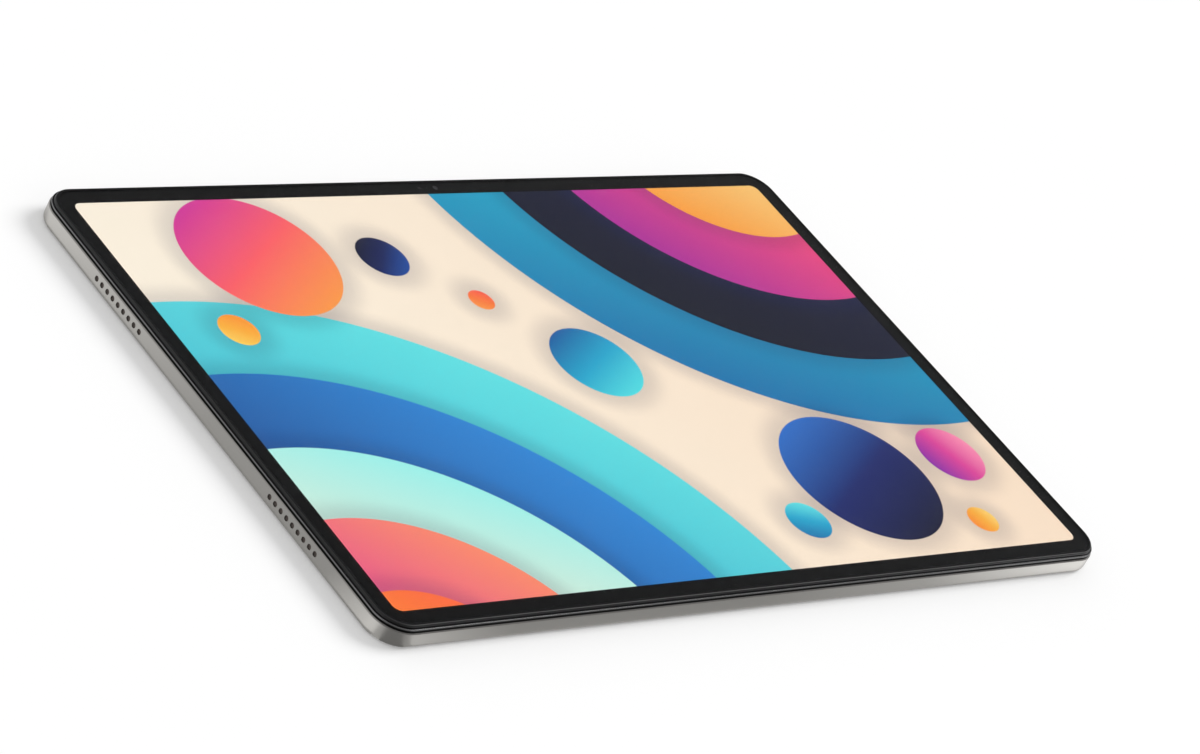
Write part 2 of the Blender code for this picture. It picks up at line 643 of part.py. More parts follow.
def build_battery(wrap, board, ribbon):
    z = (BACK_THICKNESS + CELL_TAPE, GRAPHITE_BOTTOM - CELL_SWELLING_GAP)
    block("battery_left", wrap, (-CELL_X1, -CELL_X0), (CELL_Y0, CELL_Y1), z, CELL_CORNER_RADIUS)
    block("battery_right", wrap, (CELL_X0, CELL_X1), (CELL_Y0, CELL_Y1), z, CELL_CORNER_RADIUS)
    strip_y = (BATTERY_BOARD_Y0, BATTERY_BOARD_Y1)
    block("battery_board", board, around(0, BATTERY_BOARD_LENGTH), strip_y, (BOARD_BOTTOM, BOARD_TOP))
    lead_y = (BATTERY_BOARD_Y1 - BATTERY_LEAD_OVERLAP, BOARD_Y0 + BATTERY_LEAD_OVERLAP)
    lead_z = (PARTS_BOTTOM, PARTS_BOTTOM + FLEX_THICKNESS)
    block("battery_lead", ribbon, around(BATTERY_LEAD_X, BATTERY_LEAD_WIDTH), lead_y, lead_z)


def drill(board, name, prefix):
    """Screw holes through a board."""
    holes = bmesh.new()
    for screw, centre in SCREW_PLACES.items():
        if screw.startswith(prefix):
            prism(holes, screw_bore(centre), "Z", BOARD_BOTTOM - CUT_MARGIN, BOARD_TOP + CUT_MARGIN)
    cut(board, name, holes)


def build_shield(name, tin, x, length, width):
    """A can over part of the board, open at the bottom."""
    y = BOARD_Y0 + SHIELD_EDGE + width / 2
    outer = rounded_rectangle(length, width, 2 * SHIELD_WALL, (x, y), 2)
    walls = 2 * SHIELD_WALL
    inner = rounded_rectangle(length - walls, width - walls, SHIELD_WALL, (x, y), 2)
    top = PARTS_BOTTOM + SHIELD_HEIGHT
    sections = [(outer, top), (outer, PARTS_BOTTOM), (inner, PARTS_BOTTOM), (inner, top - SHIELD_WALL)]
    lofted(name, tin, sections)


def build_boards(board, chip, tin):
    z = (BOARD_BOTTOM, BOARD_TOP)
    x, y = around(0, BOARD_LENGTH), (BOARD_Y0, BOARD_Y1)
    main = block("main_board", board, x, y, z, BOARD_CORNER_RADIUS)
    drill(main, "main_board_holes", "screw_board")
    x = around(PROCESSOR_X, PROCESSOR_SIZE)
    y = around(BOARD_Y0 + SHIELD_EDGE + PROCESSOR_SHIELD_WIDTH / 2, PROCESSOR_SIZE)
    block("processor", chip, x, y, (PARTS_BOTTOM, PARTS_BOTTOM + PROCESSOR_HEIGHT))
    build_shield("processor_shield", tin, PROCESSOR_X, PROCESSOR_SHIELD_LENGTH, PROCESSOR_SHIELD_WIDTH)
    build_shield("radio_shield", tin, RADIO_X, RADIO_SHIELD_LENGTH, RADIO_SHIELD_WIDTH)


def build_port(board, steel, black):
    """Charging port: its shell through the wall, the contact tongue and the small board behind it."""
    x, y, z = (USB_BOARD_X0, USB_BOARD_X1), around(0, USB_BOARD_WIDTH), (BOARD_BOTTOM, BOARD_TOP)
    usb = block("usb_board", board, x, y, z, BOARD_CORNER_RADIUS)
    notch = bmesh.new()
    prism(notch, port_notch(), "Z", BOARD_BOTTOM - CUT_MARGIN, BOARD_TOP + CUT_MARGIN)
    cut(usb, "usb_board_notch", notch)
    drill(usb, "usb_board_holes", "screw_usb")
    middle = (0, PORT_HEIGHT)
    outer = stadium(USB_SHELL_WIDTH, USB_SHELL_HEIGHT, middle)
    inner = stadium(USB_OPENING_WIDTH, USB_OPENING_HEIGHT, middle)
    shell = [(outer, USB_BACK), (outer, USB_FRONT), (inner, USB_FRONT), (inner, USB_BACK)]
    lofted("usb_shell", steel, shell, "X", ring=True)
    base = stadium(USB_OPENING_WIDTH - 2 * LAYER_GAP, USB_OPENING_HEIGHT - 2 * LAYER_GAP, middle)
    tongue = stadium(USB_TONGUE_WIDTH, USB_TONGUE_HEIGHT, middle)
    root, tip = USB_BACK + USB_BASE_DEPTH, USB_FRONT - USB_TONGUE_SETBACK
    lofted("usb_tongue", black, [(base, USB_BACK), (base, root), (tongue, root), (tongue, tip)], "X")


def build_ribbons(ribbon):
    """Flat ribbons between the boards, and the bent one from the display."""
    z = (PARTS_BOTTOM, PARTS_BOTTOM + FLEX_THICKNESS)
    start, end = BOARD_LENGTH / 2 - MAIN_FLEX_OVERLAP, USB_BOARD_X0 + MAIN_FLEX_WIDTH
    left, right = around((CELL_X1 + SPEAKER_BACK) / 2, MAIN_FLEX_WIDTH)
    low, high = BOARD_Y0 + MAIN_FLEX_RISE, BOARD_Y0 + MAIN_FLEX_RISE + MAIN_FLEX_WIDTH
    foot = MAIN_FLEX_WIDTH / 2
    run = [(start, low), (left, low), (left, -foot), (end, -foot)]
    run += [(end, foot), (right, foot), (right, high), (start, high)]
    slab("main_flex", ribbon, run, *z)
    bent = ribbon_outline(display_flex_path(), FLEX_THICKNESS)
    low_x, high_x = around(DISPLAY_FLEX_X, DISPLAY_FLEX_WIDTH)
    lofted("display_flex", ribbon, [(bent, low_x), (bent, high_x)], "X")
    begin, shelf = VOLUME_X, BRACKET_Y0 - LAYER_GAP
    corner = KEY_FLEX_WIDTH - BOARD_LENGTH / 2
    far, under, tail = corner + KEY_FLEX_WIDTH, shelf - KEY_FLEX_WIDTH, BOARD_Y1 - KEY_FLEX_DROP
    keys = [(begin, shelf), (begin, under), (corner, under), (corner, tail), (far, tail), (far, shelf)]
    slab("key_flex", ribbon, keys, *z)


def build_speakers(plastic, mesh_metal):
    sides, ends = {-1: "left", 1: "right"}, {False: "lower", True: "upper"}
    row = (SPEAKER_HOLES - 1) * HOLE_PITCH + HOLE_DIAMETER + 2 * MESH_MARGIN
    for side, offset in speaker_rows():
        name = sides[side] + "_" + ends[offset > 0]
        x, y = sorted((side * SPEAKER_FRONT, side * SPEAKER_BACK)), around(offset, SPEAKER_LENGTH)
        block("speaker_" + name, plastic, x, y, (BAY_FLOOR, BAY_TOP), CASE_CORNER_RADIUS)
        outer = BAY_X - LAYER_GAP
        levels = sorted((side * outer, side * (outer - MESH_THICKNESS)))
        strip = stadium(row, MESH_HEIGHT, (offset, PORT_HEIGHT))
        lofted("speaker_mesh_" + name, mesh_metal, [(strip, levels[0]), (strip, levels[1])], "X")


def build_cameras(black, glass, steel, lamp, chip):
    middle = (FRONT_CAMERA_X, FRONT_CAMERA_Y)
    body = rounded_rectangle(FRONT_CAMERA_LENGTH, FRONT_CAMERA_WIDTH, CASE_CORNER_RADIUS, middle, 2)
    barrel = disc(FRONT_BARREL_DIAMETER, middle, 2)
    top = GLASS_BOTTOM - LAYER_GAP
    front = [(body, BAY_TOP - FRONT_CAMERA_HEIGHT), (body, BAY_TOP), (barrel, BAY_TOP), (barrel, top)]
    lofted("front_camera", black, front)
    sensor_x = around(FRONT_CAMERA_X - LIGHT_SENSOR_SPACING, LIGHT_SENSOR_LENGTH)
    block("light_sensor", chip, sensor_x, around(FRONT_CAMERA_Y, LIGHT_SENSOR_WIDTH), (TRAY_BOTTOM, top))
    centre, sides = (REAR_CAMERA_X, REAR_CAMERA_Y), 2 * HOLE_SIDES
    hole = REAR_RING_DIAMETER - 2 * REAR_RING_WIDTH
    outer, inner = circle(REAR_RING_DIAMETER, centre, sides), circle(hole, centre, sides)
    ring = [(outer, 0), (outer, BACK_THICKNESS), (inner, BACK_THICKNESS), (inner, 0)]
    lofted("rear_camera_ring", steel, ring, ring=True)
    lens = circle(hole - 2 * REAR_RING_CLEARANCE, centre, sides)
    slab("rear_camera_lens", glass, lens, REAR_LENS_RECESS, BACK_THICKNESS - LAYER_GAP)
    snout = disc(REAR_BARREL_DIAMETER, centre, 4)
    case = rounded_rectangle(REAR_CAMERA_SIZE, REAR_CAMERA_SIZE, CASE_CORNER_RADIUS, centre, 4)
    step = BAY_FLOOR + REAR_BARREL_HEIGHT
    rear = [(snout, BAY_FLOOR), (snout, step), (case, step), (case, BAY_FLOOR + REAR_CAMERA_HEIGHT)]
    lofted("rear_camera", black, rear)
    flash = (REAR_CAMERA_X + FLASH_SPACING, REAR_CAMERA_Y)
    slab("flash_lens", glass, circle(FLASH_DIAMETER, flash), 0, BACK_THICKNESS)
    x, y = around(flash[0], FLASH_LED_SIZE), around(flash[1], FLASH_LED_SIZE)
    block("flash_led", lamp, x, y, (BAY_FLOOR, BAY_FLOOR + FLASH_LED_HEIGHT))


def build_key(name, surface, x, length):
    """A key cap through the wall, with a flange inside that keeps it from falling out."""
    cap = stadium(length, KEY_HEIGHT, (x, PORT_HEIGHT))
    flange = stadium(length + 2 * FLANGE_MARGIN, KEY_HEIGHT + FLANGE_MARGIN, (x, PORT_HEIGHT))
    sections = [(flange, FLANGE_Y0), (flange, FLANGE_Y1), (cap, FLANGE_Y1), (cap, HALF_WIDTH + KEY_PROUD)]
    lofted(name, surface, sections, "Y", origin=(x, FLANGE_Y1, PORT_HEIGHT))


def build_keys(aluminium, switch, steel):
    build_key("power_button", aluminium, POWER_X, POWER_LENGTH)
    build_key("volume_rocker", aluminium, VOLUME_X, VOLUME_LENGTH)
    half = VOLUME_SWITCH_SPACING / 2
    places = {"power_switch": POWER_X}
    places["volume_up_switch"] = VOLUME_X - half
    places["volume_down_switch"] = VOLUME_X + half
    for name, x in places.items():
        z = around(PORT_HEIGHT, SWITCH_HEIGHT)
        block(name, switch, around(x, SWITCH_LENGTH), (SWITCH_Y0, SWITCH_Y1), z)
    x = (POWER_X - POWER_LENGTH / 2 - BRACKET_MARGIN, VOLUME_X + VOLUME_LENGTH / 2 + BRACKET_MARGIN)
    block("key_bracket", steel, x, (BRACKET_Y0, BRACKET_Y1), (BAY_FLOOR, BAY_TOP), SMALL_CORNER_RADIUS)


def build_card_slot(aluminium, steel):
    """Card tray that slides out of the top edge, and the reader it slides into."""
    middle = (TRAY_X, PORT_HEIGHT)
    front = HALF_WIDTH - TRAY_FACE_RECESS
    back = front - TRAY_FACE_DEPTH
    end = back - TRAY_BLADE_LENGTH
    face = stadium(TRAY_FACE_LENGTH, TRAY_FACE_HEIGHT, middle)
    steps = CORNER_STEPS // 2
    blade = rounded_rectangle(TRAY_BLADE_WIDTH, TRAY_BLADE_THICKNESS, BLADE_CORNER_RADIUS, middle, steps)
    sections = [(blade, end), (blade, back), (face, back), (face, front)]
    tray = lofted("card_tray", aluminium, sections, "Y", origin=(TRAY_X, front, PORT_HEIGHT))
    cuts = bmesh.new()
    card = rounded_rectangle(CARD_WIDTH, CARD_LENGTH, CASE_CORNER_RADIUS, (TRAY_X, (end + back) / 2), 2)
    top = PORT_HEIGHT + TRAY_BLADE_THICKNESS / 2
    prism(cuts, card, "Z", top - CARD_POCKET_DEPTH, top + CUT_MARGIN)
    pin = (TRAY_X + TRAY_FACE_LENGTH / 2 - PINHOLE_EDGE, PORT_HEIGHT)
    prism(cuts, circle(PINHOLE_DIAMETER, pin), "Y", back - CUT_MARGIN / 2, front + CUT_MARGIN)
    cut(tray, "tray_cuts", cuts)
    slot_width = TRAY_BLADE_WIDTH + 2 * TRAY_CLEARANCE
    slot_height = TRAY_BLADE_THICKNESS + 2 * TRAY_CLEARANCE
    slot = rounded_rectangle(slot_width, slot_height, TRAY_CLEARANCE, middle, 2)
    roof = PORT_HEIGHT + slot_height / 2 + READER_WALL
    can_middle = (TRAY_X, (roof + BAY_FLOOR) / 2)
    can = rounded_rectangle(READER_WIDTH, roof - BAY_FLOOR, READER_WALL, can_middle, 2)
    near = BAY_Y - LAYER_GAP
    far = near - READER_LENGTH
    reader = [(can, far), (can, near), (slot, near), (slot, far)]
    lofted("card_reader", steel, reader, "Y", ring=True)


def build_microphones(tin):
    for name, x in (("microphone_left", MICROPHONE_LEFT_X), ("microphone_right", MICROPHONE_RIGHT_X)):
        y = (BAY_Y - LAYER_GAP - MICROPHONE_DEPTH, BAY_Y - LAYER_GAP)
        block(name, tin, around(x, MICROPHONE_LENGTH), y, around(PORT_HEIGHT, MICROPHONE_HEIGHT))


def build_screws(steel):
    for name, centre in SCREW_PLACES.items():
        shank, head = circle(SCREW_DIAMETER, centre), circle(SCREW_HEAD_DIAMETER, centre)
        tip, top = BORE_FLOOR + SCREW_TIP_GAP, PARTS_BOTTOM + SCREW_HEAD_HEIGHT
        lofted(name, steel, [(shank, tip), (shank, PARTS_BOTTOM), (head, PARTS_BOTTOM), (head, top)])


def main():
    clear_scene()
    aluminium = finish("aluminium_satin", (0.55, 0.55, 0.54), 0.35, 1.0)
    plate = finish("aluminium_plate", (0.62, 0.62, 0.63), 0.5, 1.0)
    steel = finish("stainless_steel", (0.6, 0.59, 0.57), 0.3, 1.0)
    tin = finish("tinned_steel", (0.68, 0.67, 0.64), 0.4, 1.0)
    copper = finish("antenna_copper", (0.72, 0.45, 0.3), 0.4, 1.0)
    black = finish("black_plastic", (0.012, 0.012, 0.013), 0.3)
    grey = finish("grey_plastic", (0.5, 0.5, 0.5), 0.45)
    adhesive = finish("adhesive_foam", (0.02, 0.02, 0.02), 0.9)
    glass = finish("cover_glass", (0.02, 0.02, 0.025), 0.05)
    panel = finish("display_panel", (0.08, 0.2, 0.3), 0.2)
    film = finish("diffuser_film", (0.9, 0.9, 0.9), 0.6)
    acrylic = finish("light_guide_acrylic", (0.85, 0.9, 0.9), 0.1)
    lamp = finish("lamp_yellow", (0.9, 0.8, 0.4), 0.4)
    graphite = finish("graphite", (0.06, 0.06, 0.065), 0.5)
    wrap = finish("cell_wrap", (0.03, 0.03, 0.035), 0.35)
    board = finish("circuit_board", (0.015, 0.06, 0.05), 0.5)
    chip = finish("chip_resin", (0.02, 0.02, 0.02), 0.5)
    ribbon = finish("ribbon_film", (0.25, 0.11, 0.03), 0.4)
    build_housing(aluminium, grey)
    build_antennas(copper)
    build_frame(black, adhesive)
    build_glass(glass)
    build_display(panel, film, acrylic, steel, lamp)
    build_plate(plate, graphite)
    build_battery(wrap, board, ribbon)
    build_boards(board, chip, tin)
    build_port(board, steel, black)
    build_ribbons(ribbon)
    build_speakers(black, steel)
    build_cameras(black, glass, aluminium, lamp, chip)
    build_keys(aluminium, black, steel)
    build_card_slot(aluminium, steel)
    build_microphones(tin)
    build_screws(steel)


main()
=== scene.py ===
"""Looks of a tablet computer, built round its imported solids.

The tablet lies on its back: +X along the long side, +Y towards the edge with the front camera, +Z up.
Its sizes are written in millimetres and turned into metres by MM. The studio's are in metres.
"""

import math

import bmesh
import bpy
from mathutils import Matrix, Vector


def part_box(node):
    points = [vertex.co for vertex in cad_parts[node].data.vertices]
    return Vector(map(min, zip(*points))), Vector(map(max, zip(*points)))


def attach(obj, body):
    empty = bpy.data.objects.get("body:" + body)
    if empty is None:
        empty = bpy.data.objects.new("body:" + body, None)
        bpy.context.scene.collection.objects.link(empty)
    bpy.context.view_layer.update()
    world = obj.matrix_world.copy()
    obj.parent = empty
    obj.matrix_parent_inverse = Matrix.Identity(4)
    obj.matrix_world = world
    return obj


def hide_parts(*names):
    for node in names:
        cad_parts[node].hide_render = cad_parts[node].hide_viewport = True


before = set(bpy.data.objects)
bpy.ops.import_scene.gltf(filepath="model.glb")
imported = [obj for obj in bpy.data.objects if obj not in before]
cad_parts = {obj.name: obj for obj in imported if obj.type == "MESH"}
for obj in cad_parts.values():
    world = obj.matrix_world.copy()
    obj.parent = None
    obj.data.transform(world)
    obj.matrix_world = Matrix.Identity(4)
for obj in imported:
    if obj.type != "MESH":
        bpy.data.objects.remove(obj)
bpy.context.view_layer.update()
scene = bpy.context.scene
MM = 0.001

# Camera of the photograph, round the point that it looks at
AIM = (7.245 * MM, 3.466 * MM, 3.45 * MM)
DISTANCE = 1329.12 * MM
AZIMUTH = -53.87
ELEVATION = 28.95
ROLL = -29.9
LENS = 149.54
SENSOR = 36.0

# Aluminium housing
HALF_X, HALF_Y, WALL_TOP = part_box("rear_housing")[1]
CORNER_RADIUS = 9 * MM
LEAST_CORNER_RADIUS = 1 * MM
BACK_EDGE_RADIUS = 1.5 * MM
CHAMFER = 0.25 * MM
RIM_WALL = 1.2 * MM
WALL = 2.2 * MM
LEDGE_TOP = 4.2 * MM
BACK_PLATE = 0.9 * MM
PORT_HEIGHT = (BACK_PLATE + WALL_TOP) / 2
EDGE_BREAK = 0.12 * MM
BOSS_RADIUS = 1.6 * MM
BOSS_BORE = 0.75 * MM
BOSS_TOP = 1.5 * MM

# Black frame round the glass
FRAME_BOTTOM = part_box("display_frame")[0].z
FRAME_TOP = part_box("display_frame")[1].z
LIP_INSET = 0.3 * MM
LIP_BOTTOM = WALL_TOP + 0.05 * MM
BEAD_RADIUS = 0.22 * MM
BEAD_START = math.radians(-30)
FOOT_INSET = 0.3 * MM
FOOT_DEPTH = 0.6 * MM
FOOT_TOP = 5.64 * MM
FOOT_GAP = 0.01 * MM
LEG_OUTER = 1.4 * MM
LEG_INNER = 3.2 * MM

# Glass with its printed border, and the front camera under it
GLASS_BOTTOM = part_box("cover_glass")[0].z
GLASS_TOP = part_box("cover_glass")[1].z
GLASS_INSET = 0.85 * MM
GLASS_EDGE_WIDTH = 0.4 * MM
GLASS_EDGE_DROP = 0.5 * MM
RIM_INSET = 1.85 * MM
BORDER_INSET = 1.15 * MM
BORDER_WIDTH = 6.5 * MM
INK_GAP = 0.01 * MM
INK_THICKNESS = 0.012 * MM
APERTURE_RADIUS = 0.85 * MM
SENSOR_RADIUS = 0.5 * MM
BARREL_CLEARANCE = 0.02 * MM
FRONT_LENS_RADIUS = 0.72 * MM
FRONT_LENS_RISE = 0.012 * MM

# Rows of speaker holes in both short walls, with dust cloth in them and wire cloth behind
SPEAKER_ROWS = 2
HOLE_RADIUS = 0.75 * MM
HOLE_PITCH = 2.6 * MM
HOLE_COUNT = 9
SPEAKER_OFFSET = 41.5 * MM
HOLE_BREAK = 0.05 * MM
CLOTH_DEPTH = 0.5 * MM
CLOTH_THICKNESS = 0.1 * MM
CLOTH_CLEARANCE = 0.01 * MM
WIRE_RADIUS = 0.05 * MM
WIRE_PITCH = 0.3 * MM
WIRE_SIDES = 6

# Keys, card tray, microphones and charging port
KEY_HEIGHT = 1.8 * MM
KEY_EDGE = 0.2 * MM
KEY_CLEARANCE = 0.1 * MM
FLANGE_DEPTH = 0.4 * MM
FLANGE_MARGIN = 0.4 * MM
TRAY_FACE_DEPTH = 1.8 * MM
BLADE_WIDTH = 13 * MM
BLADE_THICKNESS = 1 * MM
BLADE_ROUND = 0.25 * MM
CARD_WIDTH = 11.2 * MM
CARD_LENGTH = 15.2 * MM
CARD_ROUND = 0.5 * MM
POCKET_DEPTH = 0.7 * MM
PINHOLE_RADIUS = 0.45 * MM
PINHOLE_EDGE = 1.2 * MM
PINHOLE_OVERRUN = 0.5 * MM
MICROPHONE_RADIUS = 0.5 * MM
PORT_WALL = 0.2 * MM
PORT_CLEARANCE = 0.1 * MM
PORT_BASE_DEPTH = 1.6 * MM
PORT_ROLL_SET = 0.01 * MM
TONGUE_WIDTH = 6.7 * MM
TONGUE_HEIGHT = 0.7 * MM
TONGUE_TIP_WIDTH = TONGUE_HEIGHT / 4
TONGUE_TIP_LENGTH = TONGUE_HEIGHT / 3
CONTACT_ROWS = 2
CONTACT_COUNT = 12
CONTACT_PITCH = 0.5 * MM
CONTACT_WIDTH = 0.27 * MM
CONTACT_LENGTH = 3.2 * MM
CONTACT_RELIEF = 0.02 * MM
CONTACT_ROUND = 0.01 * MM

# Rear camera and flash. What lies behind the camera's cover is in shares of its radius and of its depth
RING_WIDTH = 1.6 * MM
RING_CLEARANCE = 0.1 * MM
WINDOW_CLEARANCE = 0.1 * MM
COVER_DEPTH = 1 / 3
BAFFLE_FRONT = 0.4
BAFFLE_STEPS = ((0.85, 0.06), (0.7, 0.15), (0.55, 0.24))
BAFFLE_BORE = 0.45
REAR_LENS_RADIUS = 0.43
REAR_LENS_RISE = 0.2
FLASH_RINGS = 7
FLASH_RING_DEPTH = 0.05 * MM

# How finely curves are divided, and how far cutters run past what they cut
CORNER_STEPS = 24
EDGE_STEPS = 10
ROUND_STEPS = 10
CONTACT_STEPS = 2
HOLE_SIDES = 24
LENS_SIDES = 64
FULL_ROUND = 0.999
CUT_MARGIN = 1 * MM
SHARP_ANGLE = math.radians(32)
FLAT_WEIGHT = 100

# Sockets of a Mix node's colours, the middle range of a noise, and a wave's length at a scale of 1
FACTOR, FIRST, SECOND = 0, 6, 7
MIXED = 2
NOISE_LOW, NOISE_HIGH = 0.3, 0.7
NOISE_DETAIL = 3.0
WAVE_LENGTH = 0.314
WAVE_RELIEF = 0.02 * MM


def linear(code):
    """An sRGB hex colour as linear light."""
    parts = [int(code[i:i + 2], 16) / 255 for i in (1, 3, 5)]
    return [c / 12.92 if c <= 0.04045 else ((c + 0.055) / 1.055) ** 2.4 for c in parts] + [1.0]


def add(tree, kind, inputs=None, **settings):
    """Adds a node with its settings, and gives its inputs a value or a link from another node's output."""
    made = tree.nodes.new(kind)
    for name, value in settings.items():
        setattr(made, name, value)
    for name, value in (inputs or {}).items():
        if isinstance(value, bpy.types.NodeSocket):
            tree.links.new(value, made.inputs[name])
        else:
            made.inputs[name].default_value = value
    return made


def new_material(name, **sockets):
    """A Principled material with plain values on its own sockets, whose underscores stand for spaces."""
    made = bpy.data.materials.new(name)
    made.use_nodes = True
    shader = made.node_tree.nodes["Principled BSDF"]
    for socket, value in sockets.items():
        shader.inputs[socket.replace("_", " ")].default_value = value
    return made, made.node_tree, shader


def toned(tree, shader, height, dark, light, relief):
    """Colours a surface from dark to light by a height, and raises it by the same height."""
    shades = {FACTOR: height, FIRST: linear(dark), SECOND: linear(light)}
    colour = add(tree, "ShaderNodeMix", shades, data_type="RGBA")
    tree.links.new(colour.outputs[MIXED], shader.inputs["Base Color"])
    if relief:
        bump = add(tree, "ShaderNodeBump", {"Height": height, "Distance": relief})
        tree.links.new(bump.outputs["Normal"], shader.inputs["Normal"])


def grained(name, dark, light, grain, rough, relief=0.0, **sockets):
    """A surface whose colour, roughness and height vary with a fine grain of a size in metres."""
    made, tree, shader = new_material(name, **sockets)
    place = add(tree, "ShaderNodeTexCoord").outputs["Object"]
    noise = add(tree, "ShaderNodeTexNoise", {"Vector": place, "Scale": 1 / grain, "Detail": NOISE_DETAIL})
    height = noise.outputs["Fac"]
    toned(tree, shader, height, dark, light, relief)
    spread = {"Value": height, "From Min": NOISE_LOW, "From Max": NOISE_HIGH}
    shine = add(tree, "ShaderNodeMapRange", spread | {"To Min": rough[0], "To Max": rough[1]})
    tree.links.new(shine.outputs["Result"], shader.inputs["Roughness"])
    return made


# The picture on the screen: discs laid over each other like cut paper, in millimetres from the middle.
# Each has its place, its radius, the lean of its colours in degrees, and the colours.
PICTURE_GROUND = ("#fff3e0", "#ffe6cc")
PICTURE_HALF_LENGTH = 120
PICTURE = (
    (118, 94, 122, 240, ("#8df4ee", "#22c3da", "#0f74ae")),
    (118, 94, 94, 230, ("#0c1f66", "#070f3c", "#040722")),
    (118, 94, 68, 215, ("#ff8f4a", "#ff4d78", "#b02a9a")),
    (118, 94, 40, 225, ("#ffe9c4", "#ffcf7a", "#ffa23c")),
    (-124, -100, 138, 50, ("#0a4f94", "#1593c0", "#5fe3e6")),
    (-124, -100, 110, 35, ("#050a30", "#0a2170", "#2a86d6")),
    (-124, -100, 82, 60, ("#ffd9a8", "#ffeacc", "#9df3ec")),
    (-124, -100, 56, 40, ("#7a2aa8", "#e0348f", "#ff8a6a")),
    (-124, -100, 30, 50, ("#ffb347", "#ff8a2e", "#ff6a3a")),
    (-80, 54, 24, 125, ("#ff9a45", "#ff5f66", "#d2319a")),
    (-38, 52, 8, 140, ("#164a9e", "#0a1c58", "#050a2a")),
    (-106, 26, 6, 60, ("#ffcf5a", "#ffb03a", "#ff9430")),
    (6, 6, 14, 120, ("#4fe0e6", "#1aa6cf", "#0c5aa0")),
    (-16, 33, 4, 60, ("#ff9a4a", "#ff7a3a", "#ff5a4a")),
    (66, -46, 25, 300, ("#2a6fc8", "#0b1f6a", "#050a30")),
    (33, -60, 7, 250, ("#5fe3e6", "#1aa6cf", "#0f74ae")),
    (108, -40, 11, 200, ("#ff8fb4", "#e0409a", "#8a2aa8")),
    (98, -66, 5, 200, ("#ffd36a", "#ffb03a", "#ff8f30")),
)
PICTURE_EDGE = 0.12
PICTURE_SHADOW = "#0a1c58"
PICTURE_SHADOW_REACH = 9.0
PICTURE_SHADOW_DEPTH = 0.25
PANEL_GLOW = 1.12


def lit_panel():
    """Liquid crystal panel lit from behind: even, saturated light with no shine of its own."""
    made, tree, shader = new_material("lcd_panel_lit", Base_Color=linear("#000000"), Roughness=0.5)
    place = add(tree, "ShaderNodeTexCoord").outputs["Object"]
    in_mm = {0: place, 1: (1 / MM, 1 / MM, 0)}
    spot = add(tree, "ShaderNodeVectorMath", in_mm, operation="MULTIPLY").outputs[0]
    length = add(tree, "ShaderNodeSeparateXYZ", {0: spot}).outputs["X"]
    ends = {"Value": length, "From Min": -PICTURE_HALF_LENGTH, "From Max": PICTURE_HALF_LENGTH}
    share = add(tree, "ShaderNodeMapRange", ends).outputs["Result"]
    ground = {FACTOR: share, FIRST: linear(PICTURE_GROUND[0]), SECOND: linear(PICTURE_GROUND[1])}
    picture = add(tree, "ShaderNodeMix", ground, data_type="RGBA").outputs[MIXED]
    for x, y, radius, lean, colours in PICTURE:
        shifted = add(tree, "ShaderNodeVectorMath", {0: spot, 1: (x, y, 0)}, operation="SUBTRACT")
        centred = shifted.outputs[0]
        reach = add(tree, "ShaderNodeVectorMath", {0: centred}, operation="LENGTH").outputs["Value"]
        way = (math.cos(math.radians(lean)), math.sin(math.radians(lean)), 0)
        along = add(tree, "ShaderNodeVectorMath", {0: centred, 1: way}, operation="DOT_PRODUCT")
        across = {"Value": along.outputs["Value"], "From Min": -radius, "From Max": radius}
        share = add(tree, "ShaderNodeMapRange", across).outputs["Result"]
        ramp = add(tree, "ShaderNodeValToRGB", {0: share})
        stops = ramp.color_ramp.elements
        stops.new(0.5)
        for stop, colour in zip(stops, colours):
            stop.color = linear(colour)
        outside = {"Value": reach, "From Min": radius, "From Max": radius + PICTURE_SHADOW_REACH}
        outside |= {"To Min": PICTURE_SHADOW_DEPTH, "To Max": 0.0}
        shade = add(tree, "ShaderNodeMapRange", outside, interpolation_type="SMOOTHSTEP").outputs["Result"]
        shaded = {FACTOR: shade, FIRST: picture, SECOND: linear(PICTURE_SHADOW)}
        under = add(tree, "ShaderNodeMix", shaded, data_type="RGBA").outputs[MIXED]
        rim = {"Value": reach, "From Min": radius - PICTURE_EDGE, "From Max": radius + PICTURE_EDGE}
        inside = add(tree, "ShaderNodeMapRange", rim | {"To Min": 1.0, "To Max": 0.0}).outputs["Result"]
        laid = {FACTOR: inside, FIRST: under, SECOND: ramp.outputs["Color"]}
        picture = add(tree, "ShaderNodeMix", laid, data_type="RGBA").outputs[MIXED]
    tree.links.new(picture, shader.inputs["Emission Color"])
    shader.inputs["Emission Strength"].default_value = PANEL_GLOW
    made.cycles.emission_sampling = "NONE"
    return made


def ringed(name, dark, light, centre, pitch, **sockets):
    """A surface with fine turned rings round a centre."""
    made, tree, shader = new_material(name, **sockets)
    place = add(tree, "ShaderNodeTexCoord").outputs["Object"]
    centred = add(tree, "ShaderNodeMapping", {"Vector": place, "Location": [-c for c in centre]})
    settings = {"Vector": centred.outputs[0], "Scale": WAVE_LENGTH / pitch}
    rings = add(tree, "ShaderNodeTexWave", settings, wave_type="RINGS", rings_direction="Z").outputs["Fac"]
    toned(tree, shader, rings, dark, light, WAVE_RELIEF)
    return made


def woven(name, dark, light, pitch, **sockets):
    """Crossed threads in the upright plane, light on the threads and dark between them, the dark a painted
    shade in the gaps.
    """
    made, tree, shader = new_material(name, **sockets)
    place = add(tree, "ShaderNodeTexCoord").outputs["Object"]
    settings = {"Vector": place, "Scale": WAVE_LENGTH / pitch}
    threads = []
    for way in ("Y", "Z"):
        wave = add(tree, "ShaderNodeTexWave", settings, wave_type="BANDS", bands_direction=way)
        threads.append(wave.outputs["Fac"])
    height = add(tree, "ShaderNodeMath", {0: threads[0], 1: threads[1]}, operation="MAXIMUM").outputs[0]
    toned(tree, shader, height, dark, light, WAVE_RELIEF)
    return made


